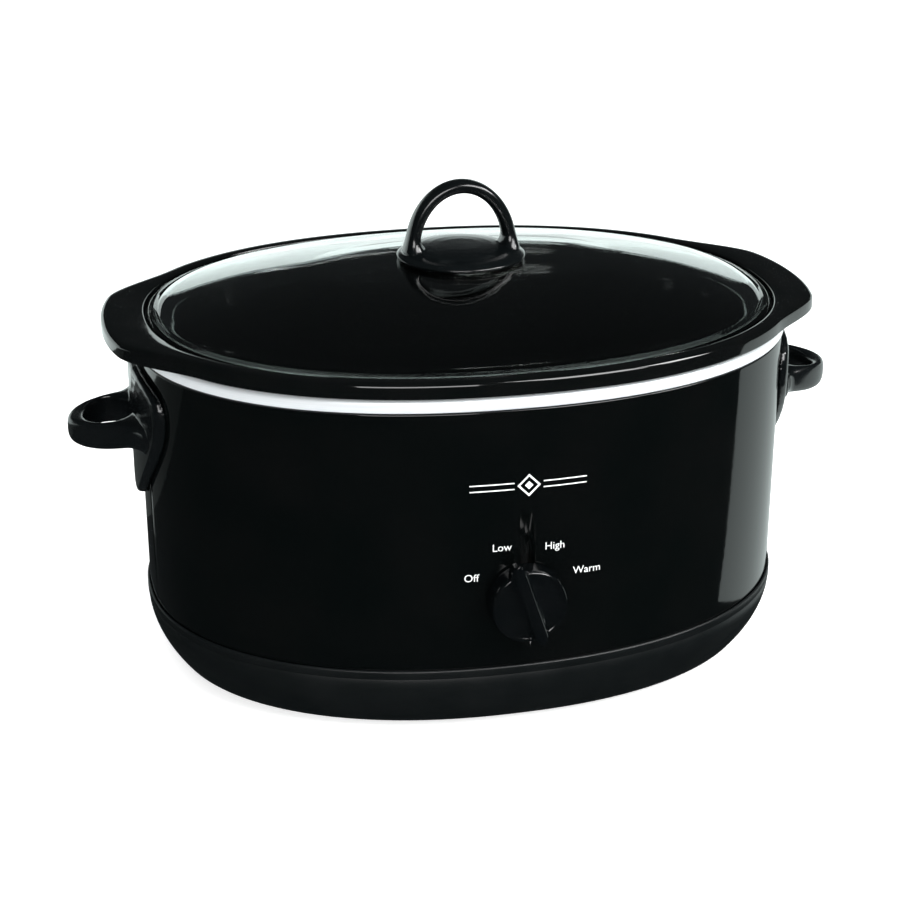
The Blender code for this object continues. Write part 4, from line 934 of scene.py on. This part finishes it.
bm = bmesh.new()
stops = [-0.0199, -0.0196, -0.0190, -0.0180, -0.0166, -0.0150] + [-0.0135 + 0.0015 * i for i in range(21)]
stops += [0.0180, 0.0194, 0.0207, 0.0219, 0.0230, 0.0239, 0.0246, 0.02505]
rings = [[bm.verts.new(point) for point in grip_section(stop)] for stop in stops]
skin_rings(bm, rings, False)
boolean(setting_knob, keep(bm, "grip_bar", knob_phenolic, None), "UNION")
soften(setting_knob, 0.0003, 10)
drill(setting_knob, [(0.0033, (0, 0, -0.005), (0, 0, STANDOFF + 0.0123))])
setting_knob.data.transform(knob_place)
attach(setting_knob, "knob")
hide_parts("control_knob")
print("knob faces:", len(setting_knob.data.polygons))

# %% [markdown]
# ## Printing on the case
# The four settings are printed in white epoxy ink on the enamel, in an arc about the knob, and above
# them a small plain ornament. Real ink is some 20 microns thick; here it stands 0.08 mm proud so that it
# never sinks into the wall.

# %% Wrap flat shapes onto the wall
INK = 0.00008


def on_wall(name, outline_mesh, centre_x, centre_z):
    """Lays a flat mesh, drawn about its own middle in x and y, on the front wall, following its curve."""
    bm = bmesh.new()
    bm.from_mesh(outline_mesh)
    bmesh.ops.triangulate(bm, faces=bm.faces)
    bmesh.ops.subdivide_edges(bm, edges=[e for e in bm.edges if e.calc_length() > 0.004], cuts=2)
    for vertex in bm.verts:
        x, z = vertex.co.x + centre_x, vertex.co.y + centre_z
        vertex.co = (x, body_y - oval_depth(-INK, x), z)
    return keep(bm, name, print_ink, "base")


def lettering(word, cap_height):
    """Mesh of a plain word in the built-in font, centred, with capitals of the height asked for."""
    curve = bpy.data.curves.new(word, "FONT")
    curve.body = word
    curve.align_x, curve.align_y = "CENTER", "CENTER"
    curve.size = cap_height / 0.715
    curve.resolution_u = 4
    holder = bpy.data.objects.new(word, curve)
    bpy.context.scene.collection.objects.link(holder)
    bpy.context.view_layer.update()
    mesh = bpy.data.meshes.new_from_object(holder.evaluated_get(bpy.context.evaluated_depsgraph_get()))
    bpy.data.objects.remove(holder)
    return mesh


# %% Setting words
for word, x, z in (("Off", -0.0274, 0.013), ("Low", -0.0120, 0.0287), ("High", 0.0155, 0.0272),
                   ("Warm", 0.0330, 0.0118)):
    mesh = lettering(word, 0.0041)
    label = on_wall(f"setting_{word.lower()}", mesh, x, knob_z + z)


# %% Ornament
def flat_shape(loops):
    """Flat mesh of several convex outlines."""
    bm = bmesh.new()
    for loop in loops:
        bm.faces.new([bm.verts.new((x, y, 0)) for x, y in loop])
    mesh = bpy.data.meshes.new("flat")
    bm.to_mesh(mesh)
    bm.free()
    return mesh


LINE = 0.0006
lines = []
for side in (-1, 1):
    for level in (-0.0016, 0.0016):
        ends = sorted((side * 0.0075, side * 0.0300))
        lines.append([(ends[0], level - LINE / 2), (ends[1], level - LINE / 2),
                      (ends[1], level + LINE / 2), (ends[0], level + LINE / 2)])
rhombus = [(0.0060, 0), (0, 0.0060), (-0.0060, 0), (0, -0.0060)]
for (x1, y1), (x2, y2) in zip(rhombus, rhombus[1:] + rhombus[:1]):
    lines.append([(x1, y1), (x2, y2), (x2 * 0.78, y2 * 0.78), (x1 * 0.78, y1 * 0.78)])
lines.append([(x * 0.36, y * 0.36) for x, y in rhombus])
ornament = on_wall("wall_ornament", flat_shape(lines), 0.0015, 0.1385)

# %% [markdown]
# ## Cord gland and base screws
# The cord leaves at the back through a moulded gland, a ribbed sleeve with a flange against the steel.
# Underneath, four pan-head screws with cross recesses hold the cover to the base.

# %% Cord gland
GLAND_BORE, GLAND_NECK, GLAND_FLANGE, GLAND_PROUD = 0.0036, 0.006, 0.0095, 0.007
bm = bmesh.new()
gland = [(GLAND_BORE + 0.0004, GLAND_PROUD), (GLAND_NECK - 0.0012, GLAND_PROUD),
         (GLAND_NECK - 0.0004, GLAND_PROUD - 0.0004), (GLAND_NECK, GLAND_PROUD - 0.0012),
         (GLAND_NECK, 0.0052), (GLAND_NECK + 0.0006, 0.0042), (GLAND_FLANGE - 0.0020, 0.0037),
         (GLAND_FLANGE - 0.0008, 0.0035), (GLAND_FLANGE - 0.0002, 0.0030),
         (GLAND_FLANGE, 0.0024), (GLAND_FLANGE, 0.0008), (GLAND_NECK, 0.0008), (GLAND_NECK, -0.0022),
         (GLAND_NECK + 0.0012, -0.0026), (GLAND_NECK, -0.0075),
         (GLAND_BORE, -0.0075), (GLAND_BORE, GLAND_PROUD - 0.0005), (GLAND_BORE + 0.0004, GLAND_PROUD)]
turned_mesh(bm, gland, 72, Matrix.Translation((0, rear_y, gland_z)) @ Matrix.Rotation(-math.pi / 2, 4, "X"))
bmesh.ops.remove_doubles(bm, verts=bm.verts, dist=0.000001)
gland_piece = keep(bm, "cord_bush", grip_phenolic, "base")
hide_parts("cord_gland")

# %% Cross-head screws under the base
for node in cover_screw_nodes:
    low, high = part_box(node)
    middle = (low + high) / 2
    bm = bmesh.new()
    seat = skirt_bottom - 0.0003
    head = [(0, seat - 0.0022), (0.0014, seat - 0.0021), (0.0026, seat - 0.0016), (0.0034, seat - 0.0009),
            (0.0038, seat - 0.0003), (0.0038, seat),
            (0.0018, seat), (0.0018, high.z - 0.0010), (0.0007, high.z), (0, high.z)]
    turned_mesh(bm, head, 48, Matrix.Translation((middle.x, middle.y, 0)))
    screw = keep(bm, node.replace("cover_screw_", "cross_screw_"), zinc, None)
    bm = bmesh.new()
    for turn in (0, math.pi / 2):
        across = Vector((math.cos(turn), math.sin(turn), 0)) * 0.0019
        aside = Vector((-math.sin(turn), math.cos(turn), 0)) * 0.00045
        at = Vector((middle.x, middle.y, 0))
        rounded_bar(bm, [(at + Vector((0, 0, seat - 0.0030)), across, aside),
                         (at + Vector((0, 0, seat - 0.0010)), across * 0.7, aside)], 8, 16)
        if turn == 0:
            boolean(screw, keep(bm, "recess", zinc, None), "DIFFERENCE")
            bm = bmesh.new()
    boolean(screw, keep(bm, "recess", zinc, None), "DIFFERENCE")
    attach(screw, "base")
    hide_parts(node)

# %% [markdown]
# ## Finishes for the remaining CAD parts
# The heater, switch, wiring and fixings inside keep their CAD shapes. Each takes the finish of its
# material slot, so they look right when the case is seen from below or opened.

# %% Finishes by slot
by_slot = {"black_enamel": enamel, "base_plastic": satin_phenolic, "handle_plastic": grip_phenolic,
           "knob_plastic": knob_phenolic,
           "bright_liner": liner, "zinc_steel": zinc, "black_glaze": glaze, "clear_glass": glass,
           "rubber": rubber, "mica": mica,
           "switch_nylon": nylon, "sleeve": sleeve}
for entry in frame["record"]["subparts"]:
    mesh = nodes[entry["node"]].data
    mesh.materials.clear()
    mesh.materials.append(by_slot[entry["material_slot"]])
print("CAD parts still shown:", sum(not node.hide_render for node in nodes.values()))
